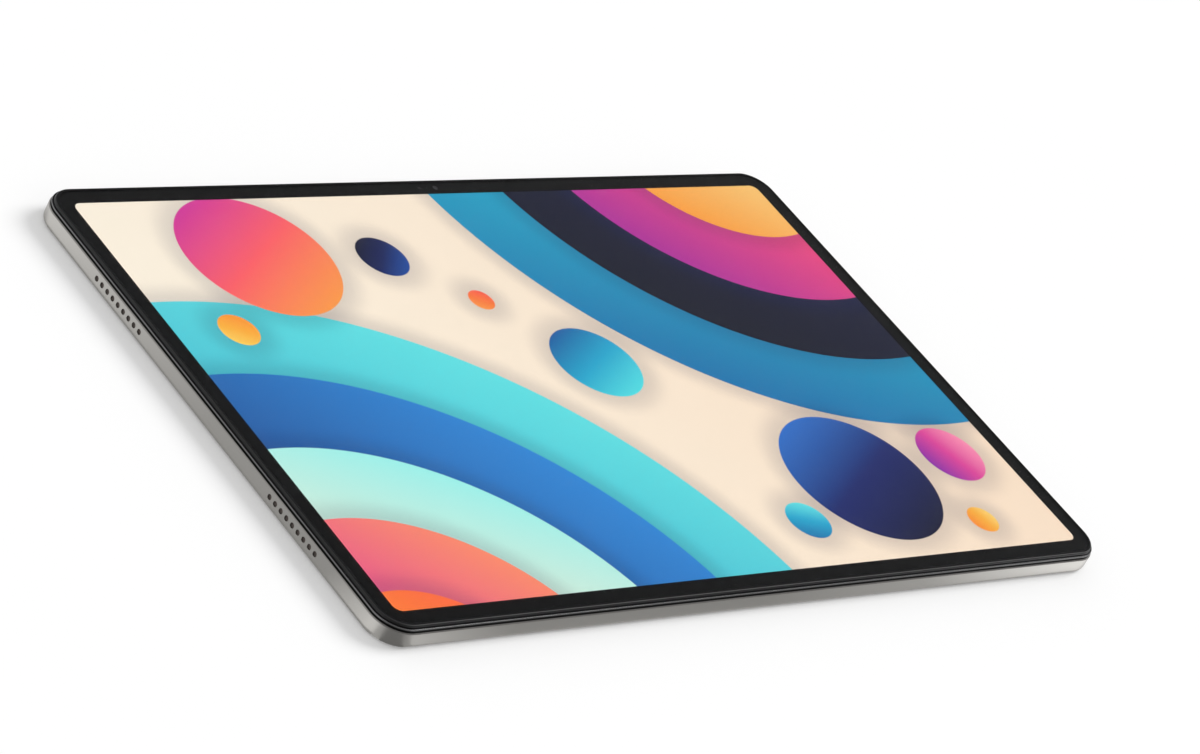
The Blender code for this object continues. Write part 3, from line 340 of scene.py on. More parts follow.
def middle_of(node):
    """The middle of a solid's box."""
    low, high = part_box(node)
    return (low + high) / 2


# Bead-blasted and anodised aluminium: an even satin grey, its blast drawn coarse enough to show
anodised = grained("anodised_aluminium_bead_blasted", "#a4a29e", "#acaaa6", 0.35 * MM, (0.36, 0.42),
                   0.002 * MM, Metallic=1.0)
# Diamond-cut aluminium: a bright smooth line along the rim, coloured darker than the blasted metal as a
# painted shade that tones its glint down
diamond_cut = grained("aluminium_diamond_cut_painted_shade", "#84827f", "#8c8a87", 1.2 * MM, (0.3, 0.36), Metallic=1.0)
# Moulded polycarbonate: black with a soft shine
black_moulded = grained("polycarbonate_moulded_black", "#0b0b0c", "#101011", 0.3 * MM, (0.26, 0.34))
# The same plastic, polished on the bead that meets the glass: a clean line of light. Its colour is a paler
# grey than the foot's black, partly painted reflection for the frame's top between the bead and the glass
black_polished = grained("polycarbonate_polished_black_painted_reflection", "#1e1e20", "#222224", 0.3 * MM, (0.2, 0.26),
                         Specular_IOR_Level=1.0, IOR=1.66)
# The same plastic, etched matt on the foot that meets the metal, darker than the bead and with almost no
# shine: a plain black line of painted shade in the gap between the metal and the bead
black_matt_painted_shade = grained("polycarbonate_etched_matt_black_painted_shade", "#070707", "#0a0a0a", 0.15 * MM, (0.7, 0.8),
                     Specular_IOR_Level=0.1)
# Polished cover glass: clear, with a thin mirror image at a slant that its oil-shy coat softens in places
cover_glass = grained("aluminosilicate_glass_polished", "#fcfdfd", "#ffffff", 20 * MM, (0.015, 0.03),
                      IOR=1.5, Transmission_Weight=1.0)
# Screen-printed ink under the glass: a soft black without shine, lifted to a dark grey that stands in for
# the glass's reflection over the border, a painted reflection
ink = grained("ink_screen_printed_black_painted_reflection", "#222223", "#262627", 0.5 * MM, (0.6, 0.7),
              Specular_IOR_Level=0.0)
# Glass edge with the ink wrapped under it: black, with a thin soft line of light. Its black is lifted a
# little, partly painted sheen
glass_edge = grained("aluminosilicate_glass_inked_edge_painted_sheen", "#111112", "#131314", 0.5 * MM, (0.42, 0.48),
                     Specular_IOR_Level=0.32)
# Glass with the ink bonded to its lower face beside the edge: black, both faces mirroring as one. Its grey
# matches the ink's and is painted reflection like it
glass_rim = grained("aluminosilicate_glass_bonded_ink_painted_reflection", "#1e1e1f", "#212122", 0.5 * MM, (0.04, 0.06),
                    IOR=1.8)
panel = lit_panel()
# Moulded plastic in the antenna window: a grey near the metal's, without its shine
window_plastic = grained("pbt_moulded_grey", "#8d8c89", "#959491", 0.3 * MM, (0.45, 0.55), 0.003 * MM)
# Stamped stainless steel: a warm grey with drawn streaks too fine to see, shown as a soft grain
stainless = grained("stainless_steel_stamped", "#a8a5a0", "#b6b3ae", 0.25 * MM, (0.25, 0.36), Metallic=1.0)
# Woven steel wire, blackened: dark with points of light on the wires
wire = grained("steel_wire_woven_black", "#2a2927", "#3b3936", 0.1 * MM, (0.4, 0.5), Metallic=1.0)
# Dust cloth in the speaker holes, polyester knit: dark brown grey, its threads drawn coarse enough to show,
# with painted shade between them
cloth = woven("polyester_knit_dust_cloth", "#2e2825", "#6e6560", 0.25 * MM, Roughness=0.85)
# Gold plated over copper: warm and bright
gold = grained("copper_gold_plated", "#c79a4a", "#d9ad5c", 0.4 * MM, (0.22, 0.3), Metallic=1.0)
# Tin plated steel: pale with a faint spangle
tinned = grained("steel_tin_plated", "#b0aea9", "#c2c0bb", 1.5 * MM, (0.32, 0.45), Metallic=1.0)
# Stamped sheet aluminium: pale and plain
sheet_metal = grained("aluminium_sheet_stamped", "#b4b4b5", "#bfbfc0", 0.8 * MM, (0.4, 0.5), Metallic=1.0)
# Etched copper foil: orange metal with a dull oxide
copper = grained("copper_foil_etched", "#b8734c", "#c9845a", 0.6 * MM, (0.35, 0.48), Metallic=1.0)
# Solder mask over a glass-fibre board: dark green with the weave just showing through
board = grained("glass_fibre_board_solder_mask", "#0c3a30", "#114a3c", 0.7 * MM, (0.35, 0.5), 0.004 * MM)
# Epoxy moulded round a chip: matt black
epoxy = grained("epoxy_moulded_black", "#151515", "#1d1d1d", 0.15 * MM, (0.5, 0.6), 0.002 * MM)
# Polyimide ribbon with copper inside: amber and shiny
polyimide = grained("polyimide_film_laminated", "#8a4a1c", "#a05a24", 2 * MM, (0.25, 0.35))
# Laminated pouch of a cell: dark grey foil with a slight orange peel
pouch = grained("aluminium_laminate_pouch", "#2e2e31", "#3a3a3d", 1.5 * MM, (0.35, 0.45), 0.01 * MM)
# Rolled graphite: dark grey with a dull metallic sheen
graphite = grained("graphite_rolled_sheet", "#3a3a3c", "#48484b", 0.8 * MM, (0.4, 0.5), 0.004 * MM)
# Foam tape: matt black with open pores
foam = grained("acrylic_foam_tape", "#141414", "#202020", 0.2 * MM, (0.85, 0.95), 0.01 * MM)
# Diffusing film: milky white
film = grained("polyester_film_diffusing", "#eeeeee", "#f6f6f6", 0.3 * MM, (0.5, 0.6))
# Clear acrylic light guide: pale with its printed dots blended
acrylic = grained("acrylic_light_guide", "#dfe8ea", "#eaf2f3", 0.5 * MM, (0.12, 0.2))
# Silicone with phosphor over lamps: strong yellow
phosphor = grained("silicone_phosphor_cast", "#e8c24a", "#f0d060", 0.2 * MM, (0.35, 0.45))
# Coated lens glass: near black, with the violet bloom of its coat painted into its colour as painted
# reflection
lens_glass = grained("optical_glass_coated_painted_bloom", "#0a0a14", "#14122a", 3 * MM, (0.03, 0.05), Coat_Weight=1.0)
# Front lens, a little paler than the border round it: its grey with paler spots is a painted glint
front_optic_painted_glint = grained("optical_glass_painted_glint", "#3e3e41", "#6c6c70", 0.8 * MM, (0.03, 0.05),
                      Coat_Weight=1.0)
# Cover over the rear camera: clear polished glass
camera_glass = grained("sapphire_glass_polished", "#fafcfd", "#ffffff", 4 * MM, (0.015, 0.03),
                       IOR=1.6, Transmission_Weight=1.0)
# Flash cover moulded with fine rings that spread the light: milky, with a line at each ring
flash_cover = ringed("polycarbonate_moulded_rings", "#e9e6da", "#f7f5ec", middle_of("flash_lens"),
                     0.25 * MM, Roughness=0.25)


def rounded(half_x, half_y, radius, steps, centre=(0.0, 0.0)):
    """Points of a rectangle with round corners, counterclockwise."""
    radius = min(radius, FULL_ROUND * half_x, FULL_ROUND * half_y)
    points = []
    for quarter, (sx, sy) in enumerate(((1, 1), (-1, 1), (-1, -1), (1, -1))):
        for step in range(steps + 1):
            angle = math.pi / 2 * (quarter + step / steps)
            x = centre[0] + sx * (half_x - radius) + radius * math.cos(angle)
            y = centre[1] + sy * (half_y - radius) + radius * math.sin(angle)
            points.append((x, y))
    return points


def outline(inset):
    """The body's outline, drawn in by inset."""
    radius = max(CORNER_RADIUS - inset, LEAST_CORNER_RADIUS)
    return rounded(HALF_X - inset, HALF_Y - inset, radius, CORNER_STEPS)


def slot(length, height, centre):
    """A slot with half-round ends."""
    return rounded(length / 2, height / 2, length + height, ROUND_STEPS, centre)


def circle(radius, centre, sides):
    """Points of a circle, counterclockwise."""
    angles = [2 * math.pi * side / sides for side in range(sides)]
    return [(centre[0] + radius * math.cos(a), centre[1] + radius * math.sin(a)) for a in angles]


def quarter_round(start, width, drop):
    """Steps of a quarter ellipse as (inset, level), from the side face to the top face at level start."""
    angles = [math.pi / 2 * step / EDGE_STEPS for step in range(EDGE_STEPS + 1)]
    return [(width * (1 - math.cos(a)), start - drop * (1 - math.sin(a))) for a in angles]


def loft(mesh, sections, axis="Z", ring=False, marked=None):
    """Adds a closed body through sections of (points, level). Marked gives bands another material."""
    order = {"X": (1, 2, 0), "Y": (0, 2, 1), "Z": (0, 1, 2)}[axis]
    loops = []
    for points, level in sections:
        loop = []
        for u, v in points:
            corner = [0.0, 0.0, 0.0]
            for place, value in zip(order, (u, v, level)):
                corner[place] = value
            loop.append(mesh.verts.new(corner))
        loops.append(loop)
    bands = list(zip(loops, loops[1:]))
    faces = []
    if ring:
        bands.append((loops[-1], loops[0]))
    else:
        faces += [mesh.faces.new(loops[0]), mesh.faces.new(loops[-1])]
    for index, (low, high) in enumerate(bands):
        for i in range(len(low)):
            j = (i + 1) % len(low)
            faces.append(mesh.faces.new((low[i], low[j], high[j], high[i])))
            faces[-1].material_index = (marked or {}).get(index, 0)
    bmesh.ops.recalc_face_normals(mesh, faces=faces)


def working(name, mesh):
    """A working object of mesh data or of a bmesh, which goes."""
    if isinstance(mesh, bmesh.types.BMesh):
        data = bpy.data.meshes.new(name)
        mesh.to_mesh(data)
        mesh.free()
        mesh = data
    made = bpy.data.objects.new(name, mesh)
    scene.collection.objects.link(made)
    return made


def solid(name, sections, axis="Z", ring=False, marked=None):
    """A working object of one closed body through sections."""
    mesh = bmesh.new()
    loft(mesh, sections, axis, ring, marked)
    return working(name, mesh)


def turned(name, plan, centre, sides=LENS_SIDES, ring=False):
    """A working object of one body turned about an upright axis, through a plan of (radius, level)."""
    return solid(name, [(circle(radius, centre, sides), level) for radius, level in plan], ring=ring)


def baked(item):
    """The working object's final mesh, after which the object goes."""
    graph = bpy.context.evaluated_depsgraph_get()
    mesh = bpy.data.meshes.new_from_object(item.evaluated_get(graph), depsgraph=graph)
    bpy.data.objects.remove(item)
    return mesh


def piece(name, item, materials, body, stands_for=()):
    """Turns a working object into a finished piece that rides on a body."""
    for surface in materials:
        item.data.materials.append(surface)
    item.data.shade_smooth()
    item.data.set_sharp_from_angle(angle=SHARP_ANGLE)
    weighted = item.modifiers.new("even_flats", "WEIGHTED_NORMAL")
    weighted.keep_sharp = True
    weighted.weight = FLAT_WEIGHT
    mesh = baked(item)
    mesh.name = name
    made = working(name, mesh)
    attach(made, body)
    if stands_for:
        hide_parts(*stands_for)


def carve(item, cutter):
    """Cuts one working object out of another, and bakes the result."""
    modifier = item.modifiers.new("cut", "BOOLEAN")
    modifier.operation = "DIFFERENCE"
    modifier.solver = "EXACT"
    modifier.object = cutter
    name = item.name
    mesh = baked(item)
    bpy.data.objects.remove(cutter)
    return working(name, mesh)


def joined(name, items):
    """Several working objects as one."""
    mesh = bmesh.new()
    for item in items:
        mesh.from_mesh(item.data)
        bpy.data.objects.remove(item)
    return working(name, mesh)


def geometry_tree(name, inputs):
    """A geometry tree with a Geometry input, named inputs for its sizes, and one output."""
    tree = bpy.data.node_groups.new(name, "GeometryNodeTree")
    tree.interface.new_socket("Geometry", in_out="INPUT", socket_type="NodeSocketGeometry")
    for label, kind in inputs.items():
        tree.interface.new_socket(label, in_out="INPUT", socket_type="NodeSocket" + kind)
    tree.interface.new_socket("Geometry", in_out="OUTPUT", socket_type="NodeSocketGeometry")
    return tree, add(tree, "NodeGroupInput").outputs


def end_tree(tree, shape, surface):
    """Every tree ends in real geometry with its material."""
    real = add(tree, "GeometryNodeRealizeInstances", {"Geometry": shape})
    dressed = add(tree, "GeometryNodeSetMaterial", {"Geometry": real.outputs[0], "Material": surface})
    add(tree, "NodeGroupOutput", {"Geometry": dressed.outputs[0]})
    return tree


def copies_tree():
    """Copies of a shape in a row, and that row repeated across."""
    sizes = {"Count": "Int", "Start": "Vector", "Step": "Vector"}
    sizes |= {"Rows": "Int", "Row Step": "Vector", "Material": "Material"}
    tree, given = geometry_tree("copies_in_rows", sizes)
    row = {"Count": given["Count"], "Start Location": given["Start"], "Offset": given["Step"]}
    spots = add(tree, "GeometryNodeMeshLine", row)
    first = {"Points": spots.outputs[0], "Instance": given["Geometry"]}
    copies = add(tree, "GeometryNodeInstanceOnPoints", first)
    starts = add(tree, "GeometryNodeMeshLine", {"Count": given["Rows"], "Offset": given["Row Step"]})
    second = {"Points": starts.outputs[0], "Instance": copies.outputs[0]}
    rows = add(tree, "GeometryNodeInstanceOnPoints", second)
    return end_tree(tree, rows.outputs[0], given["Material"])


def sweep_tree():
    """A closed profile swept round a rectangle with round corners."""
    sizes = {"Length": "Float", "Width": "Float", "Corner Radius": "Float"}
    sizes |= {"Corner Steps": "Int", "Material": "Material"}
    tree, given = geometry_tree("round_rectangle_sweep", sizes)
    sides = {"Width": given["Length"], "Height": given["Width"]}
    path = add(tree, "GeometryNodeCurvePrimitiveQuadrilateral", sides)
    bend = {"Curve": path.outputs[0], "Radius": given["Corner Radius"], "Count": given["Corner Steps"]}
    rounded_path = add(tree, "GeometryNodeFilletCurve", bend, mode="POLY")
    profile = add(tree, "GeometryNodeMeshToCurve", {"Mesh": given["Geometry"]})
    swept = {"Curve": rounded_path.outputs[0], "Profile Curve": profile.outputs[0]}
    ring = add(tree, "GeometryNodeCurveToMesh", swept)
    return end_tree(tree, ring.outputs[0], given["Material"])


COPIES = copies_tree()
SWEEP = sweep_tree()


def grown(name, tree, item, values):
    """Runs a geometry tree on a working object, and returns a working object with the plain mesh."""
    modifier = item.modifiers.new(name, "NODES")
    modifier.node_group = tree
    for entry in tree.interface.items_tree:
        if entry.in_out == "INPUT" and entry.name in values:
            modifier[entry.identifier] = values[entry.name]
    data = baked(item)
    # Clearing also puts every face back in the first slot, which cutters hand on to the walls they cut
    data.materials.clear()
    mesh = bmesh.new()
    mesh.from_mesh(data)
    bmesh.ops.recalc_face_normals(mesh, faces=mesh.faces)
    return working(name, mesh)


def in_rows(name, item, surface, count, start, step, rows, row_step):
    """Copies of a working object in rows, as one working object."""
    sizes = {"Count": count, "Start": start, "Step": step, "Rows": rows, "Row Step": row_step}
    return grown(name, COPIES, item, sizes | {"Material": surface})


def in_speaker_rows(name, item, surface):
    """Copies of a working object at the holes of both rows in one short wall."""
    start = (0, -SPEAKER_OFFSET - (HOLE_COUNT - 1) / 2 * HOLE_PITCH, 0)
    apart = (0, 2 * SPEAKER_OFFSET, 0)
    return in_rows(name, item, surface, HOLE_COUNT, start, (0, HOLE_PITCH, 0), SPEAKER_ROWS, apart)


def ring_of(name, profile, surface):
    """A ring that follows the body's outline. The profile is a loop of (inset, level)."""
    mesh = bmesh.new()
    corners = [mesh.verts.new((-inset, -level, 0)) for inset, level in profile]
    for a, b in zip(corners, corners[1:] + corners[:1]):
        mesh.edges.new((a, b))
    sizes = {"Length": 2 * HALF_X, "Width": 2 * HALF_Y, "Corner Radius": CORNER_RADIUS}
    sizes |= {"Corner Steps": CORNER_STEPS, "Material": surface}
    return grown(name, SWEEP, working(name, mesh), sizes)


def flared(axis, length, height, centre):
    """Sections of a slot through a wall from inside to outside, with its outer edge broken."""
    across = HALF_X if axis == "X" else HALF_Y
    flare = 2 * (EDGE_BREAK + CUT_MARGIN)
    levels = [(0.0, across - WALL - CUT_MARGIN), (0.0, across - EDGE_BREAK), (flare, across + CUT_MARGIN)]
    return [(slot(length + more, height + more, centre), level) for more, level in levels]


def speaker_plugs(side):
    """Cutters for both rows of holes in one short wall, with their edges broken."""
    levels = [(HOLE_RADIUS, HALF_X - WALL - CUT_MARGIN), (HOLE_RADIUS, HALF_X - HOLE_BREAK)]
    levels.append((HOLE_RADIUS + HOLE_BREAK + CUT_MARGIN, HALF_X + CUT_MARGIN))
    spot = (0.0, PORT_HEIGHT)
    sections = [(circle(radius, spot, HOLE_SIDES), side * level) for radius, level in levels]
    return in_speaker_rows("speaker_plugs", solid("speaker_plug", sections, "X"), anodised)


def housing_cutter():
    """Every opening of the housing, as one cutter."""
    cuts = bmesh.new()
    for node in ("power_button", "volume_rocker"):
        low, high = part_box(node)
        length = high.x - low.x - 2 * FLANGE_MARGIN + 2 * KEY_CLEARANCE
        height = KEY_HEIGHT + 2 * KEY_CLEARANCE
        loft(cuts, flared("Y", length, height, (middle_of(node).x, PORT_HEIGHT)), "Y")
    low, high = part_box("card_tray")
    tray = (high.x - low.x + 2 * KEY_CLEARANCE, high.z - low.z + 2 * KEY_CLEARANCE)
    loft(cuts, flared("Y", *tray, ((low.x + high.x) / 2, PORT_HEIGHT)), "Y")
    for node in ("microphone_left", "microphone_right"):
        spot = (middle_of(node).x, PORT_HEIGHT)
        loft(cuts, flared("Y", 2 * MICROPHONE_RADIUS, 2 * MICROPHONE_RADIUS, spot), "Y")
    low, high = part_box("usb_shell")
    port = (high.y - low.y + 2 * PORT_CLEARANCE, high.z - low.z + 2 * PORT_CLEARANCE)
    loft(cuts, flared("X", *port, (0.0, PORT_HEIGHT)), "X")
    through = (-CUT_MARGIN, BACK_PLATE + CUT_MARGIN)
    for node in ("rear_camera_ring", "flash_lens"):
        low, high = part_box(node)
        hole = circle((high.x - low.x) / 2 + RING_CLEARANCE, middle_of(node), LENS_SIDES)
        loft(cuts, [(hole, level) for level in through])
    low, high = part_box("antenna_window")
    gap = 2 * WINDOW_CLEARANCE
    window = slot(high.x - low.x + gap, high.y - low.y + gap, middle_of("antenna_window"))
    loft(cuts, [(window, level) for level in through])
    return joined("housing_cuts", [working("openings", cuts), speaker_plugs(-1), speaker_plugs(1)])


def build_housing():
    """Shell of the tablet: round back edge, wall, diamond-cut rim, ledge and bay, with all its openings."""
    edge = quarter_round(0.0, BACK_EDGE_RADIUS, BACK_EDGE_RADIUS)
    sections = [(outline(inset), -level) for inset, level in reversed(edge)]
    chamfer_band = len(sections)
    sections += [(outline(0), WALL_TOP - CHAMFER), (outline(CHAMFER), WALL_TOP)]
    sections += [(outline(RIM_WALL), WALL_TOP), (outline(RIM_WALL), LEDGE_TOP)]
    sections += [(outline(WALL), LEDGE_TOP), (outline(WALL), BACK_PLATE)]
    shell = carve(solid("housing_shell", sections, marked={chamfer_band: 1}), housing_cutter())
    finishes = [anodised, diamond_cut]
    piece("housing_shell", shell, finishes, "tablet", ["rear_housing"])


def build_bosses():
    """Threaded posts for the boards' screws: four under the main board and two under the port's board."""
    first, last = middle_of("screw_board_left_lower"), middle_of("screw_board_right_upper")
    low, high = middle_of("screw_usb_lower"), middle_of("screw_usb_upper")
    plans = (
        (first, (last.x - first.x, 0, 0), 2, (0, last.y - first.y, 0)),
        (low, (0, high.y - low.y, 0), 1, (0, 0, 0)),
    )
    tube = [(BOSS_RADIUS, BACK_PLATE), (BOSS_RADIUS, BOSS_TOP)]
    tube += [(BOSS_BORE, BOSS_TOP), (BOSS_BORE, BACK_PLATE)]
    groups = []
    for spot, step, rows, row_step in plans:
        boss = turned("boss", tube, (0, 0), HOLE_SIDES, ring=True)
        groups.append(in_rows("bosses", boss, anodised, 2, (spot.x, spot.y, 0), step, rows, row_step))
    piece("screw_bosses", joined("bosses", groups), [anodised], "tablet")


def build_frame():
    """Black frame that shows as a round lip between the metal and the glass."""
    centre = (LIP_INSET + BEAD_RADIUS, FRAME_TOP - BEAD_RADIUS)
    profile = []
    for step in range(EDGE_STEPS + 1):
        angle = BEAD_START + (math.pi / 2 - BEAD_START) * step / EDGE_STEPS
        inset = centre[0] - BEAD_RADIUS * math.cos(angle)
        profile.append((inset, centre[1] + BEAD_RADIUS * math.sin(angle)))
    profile += [(LEG_INNER, FRAME_TOP), (LEG_INNER, FRAME_BOTTOM), (LEG_OUTER, FRAME_BOTTOM)]
    inner = FOOT_INSET + FOOT_DEPTH
    profile += [(LEG_OUTER, LIP_BOTTOM), (inner + FOOT_GAP, LIP_BOTTOM)]
    profile += [(inner + FOOT_GAP, FOOT_TOP + FOOT_GAP), (profile[0][0], FOOT_TOP + FOOT_GAP)]
    lip = ring_of("frame_lip", profile, black_polished)
    barrel = APERTURE_RADIUS + BARREL_CLEARANCE
    way = [(barrel, FRAME_BOTTOM - CUT_MARGIN), (barrel, FRAME_TOP + CUT_MARGIN)]
    lip = carve(lip, turned("barrel_way", way, middle_of("front_camera"), HOLE_SIDES))
    piece("frame_lip", lip, [black_polished], "tablet", ["display_frame"])
    # The foot in the darker, shineless plastic: painted shade between the metal and the bead
    profile = [(FOOT_INSET, LIP_BOTTOM), (FOOT_INSET, FOOT_TOP), (inner, FOOT_TOP), (inner, LIP_BOTTOM)]
    foot = ring_of("frame_foot", profile, black_matt_painted_shade)
    piece("frame_foot", foot, [black_matt_painted_shade], "tablet")


def build_glass():
    """Cover glass with a rounded edge, whose bands next to the frame have the ink bonded to them."""
    sections = [(outline(GLASS_INSET), GLASS_BOTTOM)]
    for inset, level in quarter_round(GLASS_TOP, GLASS_EDGE_WIDTH, GLASS_EDGE_DROP):
        sections.append((outline(GLASS_INSET + inset), level))
    bands = {band: 1 for band in range(len(sections) - 1)}
    bands[len(sections) - 1] = 2
    sections.append((outline(RIM_INSET), GLASS_TOP))
    glass = solid("front_glass", sections, marked=bands)
    finishes = [cover_glass, glass_edge, glass_rim]
    piece("front_glass", glass, finishes, "tablet", ["cover_glass"])


def build_border():
    """Black border printed under the glass, with two apertures, and the front lens behind one of them."""
    top = GLASS_BOTTOM - INK_GAP
    bottom = top - INK_THICKNESS
    profile = [(BORDER_INSET, bottom), (BORDER_INSET, top), (BORDER_WIDTH, top), (BORDER_WIDTH, bottom)]
    border = ring_of("border_ink", profile, ink)
    cuts = bmesh.new()
    for node, radius in (("front_camera", APERTURE_RADIUS), ("light_sensor", SENSOR_RADIUS)):
        hole = circle(radius, middle_of(node), HOLE_SIDES)
        loft(cuts, [(hole, bottom - INK_GAP), (hole, top + INK_GAP)])
    border = carve(border, working("apertures", cuts))
    piece("border_ink", border, [ink], "tablet")
    base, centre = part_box("front_camera")[1].z, middle_of("front_camera")
    dome = quarter_round(base + FRONT_LENS_RISE, FRONT_LENS_RADIUS, FRONT_LENS_RISE)[:-1]
    plan = [(FRONT_LENS_RADIUS - inset, level) for inset, level in dome]
    # Front lens in pale grey with paler spots: a painted glint
    lens = turned("front_lens", plan, centre, HOLE_SIDES)
    piece("front_lens", lens, [front_optic_painted_glint], "tablet")


def build_keys():
    """Power button and volume rocker: caps with a rounded edge, and a flange behind the wall."""
    for name, node in (("power_key", "power_button"), ("volume_key", "volume_rocker")):
        low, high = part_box(node)
        spot = ((low.x + high.x) / 2, PORT_HEIGHT)
        length = high.x - low.x
        flange = slot(length, high.z - low.z, spot)
        cap = length - 2 * FLANGE_MARGIN
        sections = [(flange, low.y), (flange, low.y + FLANGE_DEPTH)]
        sections.append((slot(cap, KEY_HEIGHT, spot), low.y + FLANGE_DEPTH))
        for inset, level in quarter_round(high.y, KEY_EDGE, KEY_EDGE):
            sections.append((slot(cap - 2 * inset, KEY_HEIGHT - 2 * inset, spot), level))
        piece(name, solid(name, sections, "Y"), [anodised], node, [node])


def build_tray():
    """Card tray: a face flush with the wall, a blade with a pocket for the card, and a pinhole."""
    low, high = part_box("card_tray")
    spot = ((low.x + high.x) / 2, PORT_HEIGHT)
    back = high.y - TRAY_FACE_DEPTH
    blade = rounded(BLADE_WIDTH / 2, BLADE_THICKNESS / 2, BLADE_ROUND, ROUND_STEPS, spot)
    length, height = high.x - low.x, high.z - low.z
    sections = [(blade, low.y), (blade, back), (slot(length, height, spot), back)]
    for inset, level in quarter_round(high.y, EDGE_BREAK, EDGE_BREAK):
        sections.append((slot(length - 2 * inset, height - 2 * inset, spot), level))
    cuts = bmesh.new()
    top = PORT_HEIGHT + BLADE_THICKNESS / 2
    pocket = (spot[0], (low.y + back) / 2)
    recess = rounded(CARD_WIDTH / 2, CARD_LENGTH / 2, CARD_ROUND, ROUND_STEPS, pocket)
    loft(cuts, [(recess, top - POCKET_DEPTH), (recess, top + CUT_MARGIN)])
    pin = circle(PINHOLE_RADIUS, (high.x - PINHOLE_EDGE, PORT_HEIGHT), HOLE_SIDES)
    loft(cuts, [(pin, back - PINHOLE_OVERRUN), (pin, high.y + CUT_MARGIN)], "Y")
    drawer = carve(solid("tray_drawer", sections, "Y"), working("tray_cuts", cuts))
    piece("tray_drawer", drawer, [anodised], "card_tray", ["card_tray"])


def build_port():
    """Charging port: rolled steel shell, black tongue and two rows of gold contacts."""
    low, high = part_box("usb_shell")
    spot, length, height = (0.0, PORT_HEIGHT), high.y - low.y, high.z - low.z
    rolled = quarter_round(high.x, PORT_WALL / 2, PORT_WALL / 2)
    sections = [(slot(length, height, spot), low.x)]
    sections += [(slot(length - 2 * inset, height - 2 * inset, spot), level) for inset, level in rolled]
    for inset, level in reversed(rolled):
        inner = 2 * (PORT_WALL - inset)
        sections.append((slot(length - inner, height - inner, spot), level - PORT_ROLL_SET))
    sections.append((slot(length - 2 * PORT_WALL, height - 2 * PORT_WALL, spot), low.x))
    shell = solid("port_shell", sections, "X", ring=True)
    piece("port_shell", shell, [stainless], "tablet", ["usb_shell"])
    low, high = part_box("usb_tongue")
    base = slot(high.y - low.y, high.z - low.z, spot)
    sections = [(base, low.x), (base, low.x + PORT_BASE_DEPTH)]
    sections.append((slot(TONGUE_WIDTH, TONGUE_HEIGHT, spot), low.x + PORT_BASE_DEPTH))
    for inset, level in quarter_round(high.x, TONGUE_TIP_WIDTH, TONGUE_TIP_LENGTH):
        sections.append((slot(TONGUE_WIDTH - 2 * inset, TONGUE_HEIGHT - 2 * inset, spot), level))
    tongue = solid("port_tongue", sections, "X")
    piece("port_tongue", tongue, [black_moulded], "tablet", ["usb_tongue"])
    pad = rounded(CONTACT_WIDTH / 2, CONTACT_RELIEF, CONTACT_ROUND, CONTACT_STEPS)
    tip = high.x - TONGUE_HEIGHT
    contact = solid("contact", [(pad, tip - CONTACT_LENGTH), (pad, tip)], "X")
    start = (0, -(CONTACT_COUNT - 1) / 2 * CONTACT_PITCH, PORT_HEIGHT - TONGUE_HEIGHT / 2)
    step, apart = (0, CONTACT_PITCH, 0), (0, 0, TONGUE_HEIGHT)
    contacts = in_rows("port_contacts", contact, gold, CONTACT_COUNT, start, step, CONTACT_ROWS, apart)
    piece("port_contacts", contacts, [gold], "tablet")


def build_weave():
    """Wire cloth behind the speaker holes, upright and level wires at a real spacing of 0.3 mm."""
    groups = []
    apart = (0, 2 * SPEAKER_OFFSET, 0)
    for side in ("left", "right"):
        low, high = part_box("speaker_mesh_" + side + "_lower")
        middle = (low.x + high.x) / 2
        upright = circle(WIRE_RADIUS, (middle + WIRE_RADIUS, 0.0), WIRE_SIDES)
        item = solid("wire", [(upright, low.z), (upright, high.z)], "Z")
        count, start = int((high.y - low.y) / WIRE_PITCH), (0, low.y + WIRE_PITCH / 2, 0)
        groups.append(in_rows("wires", item, wire, count, start, (0, WIRE_PITCH, 0), SPEAKER_ROWS, apart))
        level = circle(WIRE_RADIUS, (middle - WIRE_RADIUS, 0.0), WIRE_SIDES)
        item = solid("wire", [(level, low.y), (level, high.y)], "Y")
        count, start = int((high.z - low.z) / WIRE_PITCH), (0, 0, low.z + WIRE_PITCH / 2)
        groups.append(in_rows("wires", item, wire, count, start, (0, 0, WIRE_PITCH), SPEAKER_ROWS, apart))
    nodes = ["speaker_mesh_" + side + "_" + end for side in ("left", "right") for end in ("lower", "upper")]
    piece("speaker_weave", joined("weave", groups), [wire], "tablet", nodes)


def build_cloth():
    """Discs of dust cloth inside the speaker holes."""
    disc = circle(HOLE_RADIUS - CLOTH_CLEARANCE, (0.0, PORT_HEIGHT), HOLE_SIDES)
    front = HALF_X - CLOTH_DEPTH
    groups = []
    for side in (-1, 1):
        sections = [(disc, side * front), (disc, side * (front - CLOTH_THICKNESS))]
        groups.append(in_speaker_rows("dust_cloth", solid("dust_cloth", sections, "X"), cloth))
    piece("dust_cloth", joined("dust_cloth", groups), [cloth], "tablet")


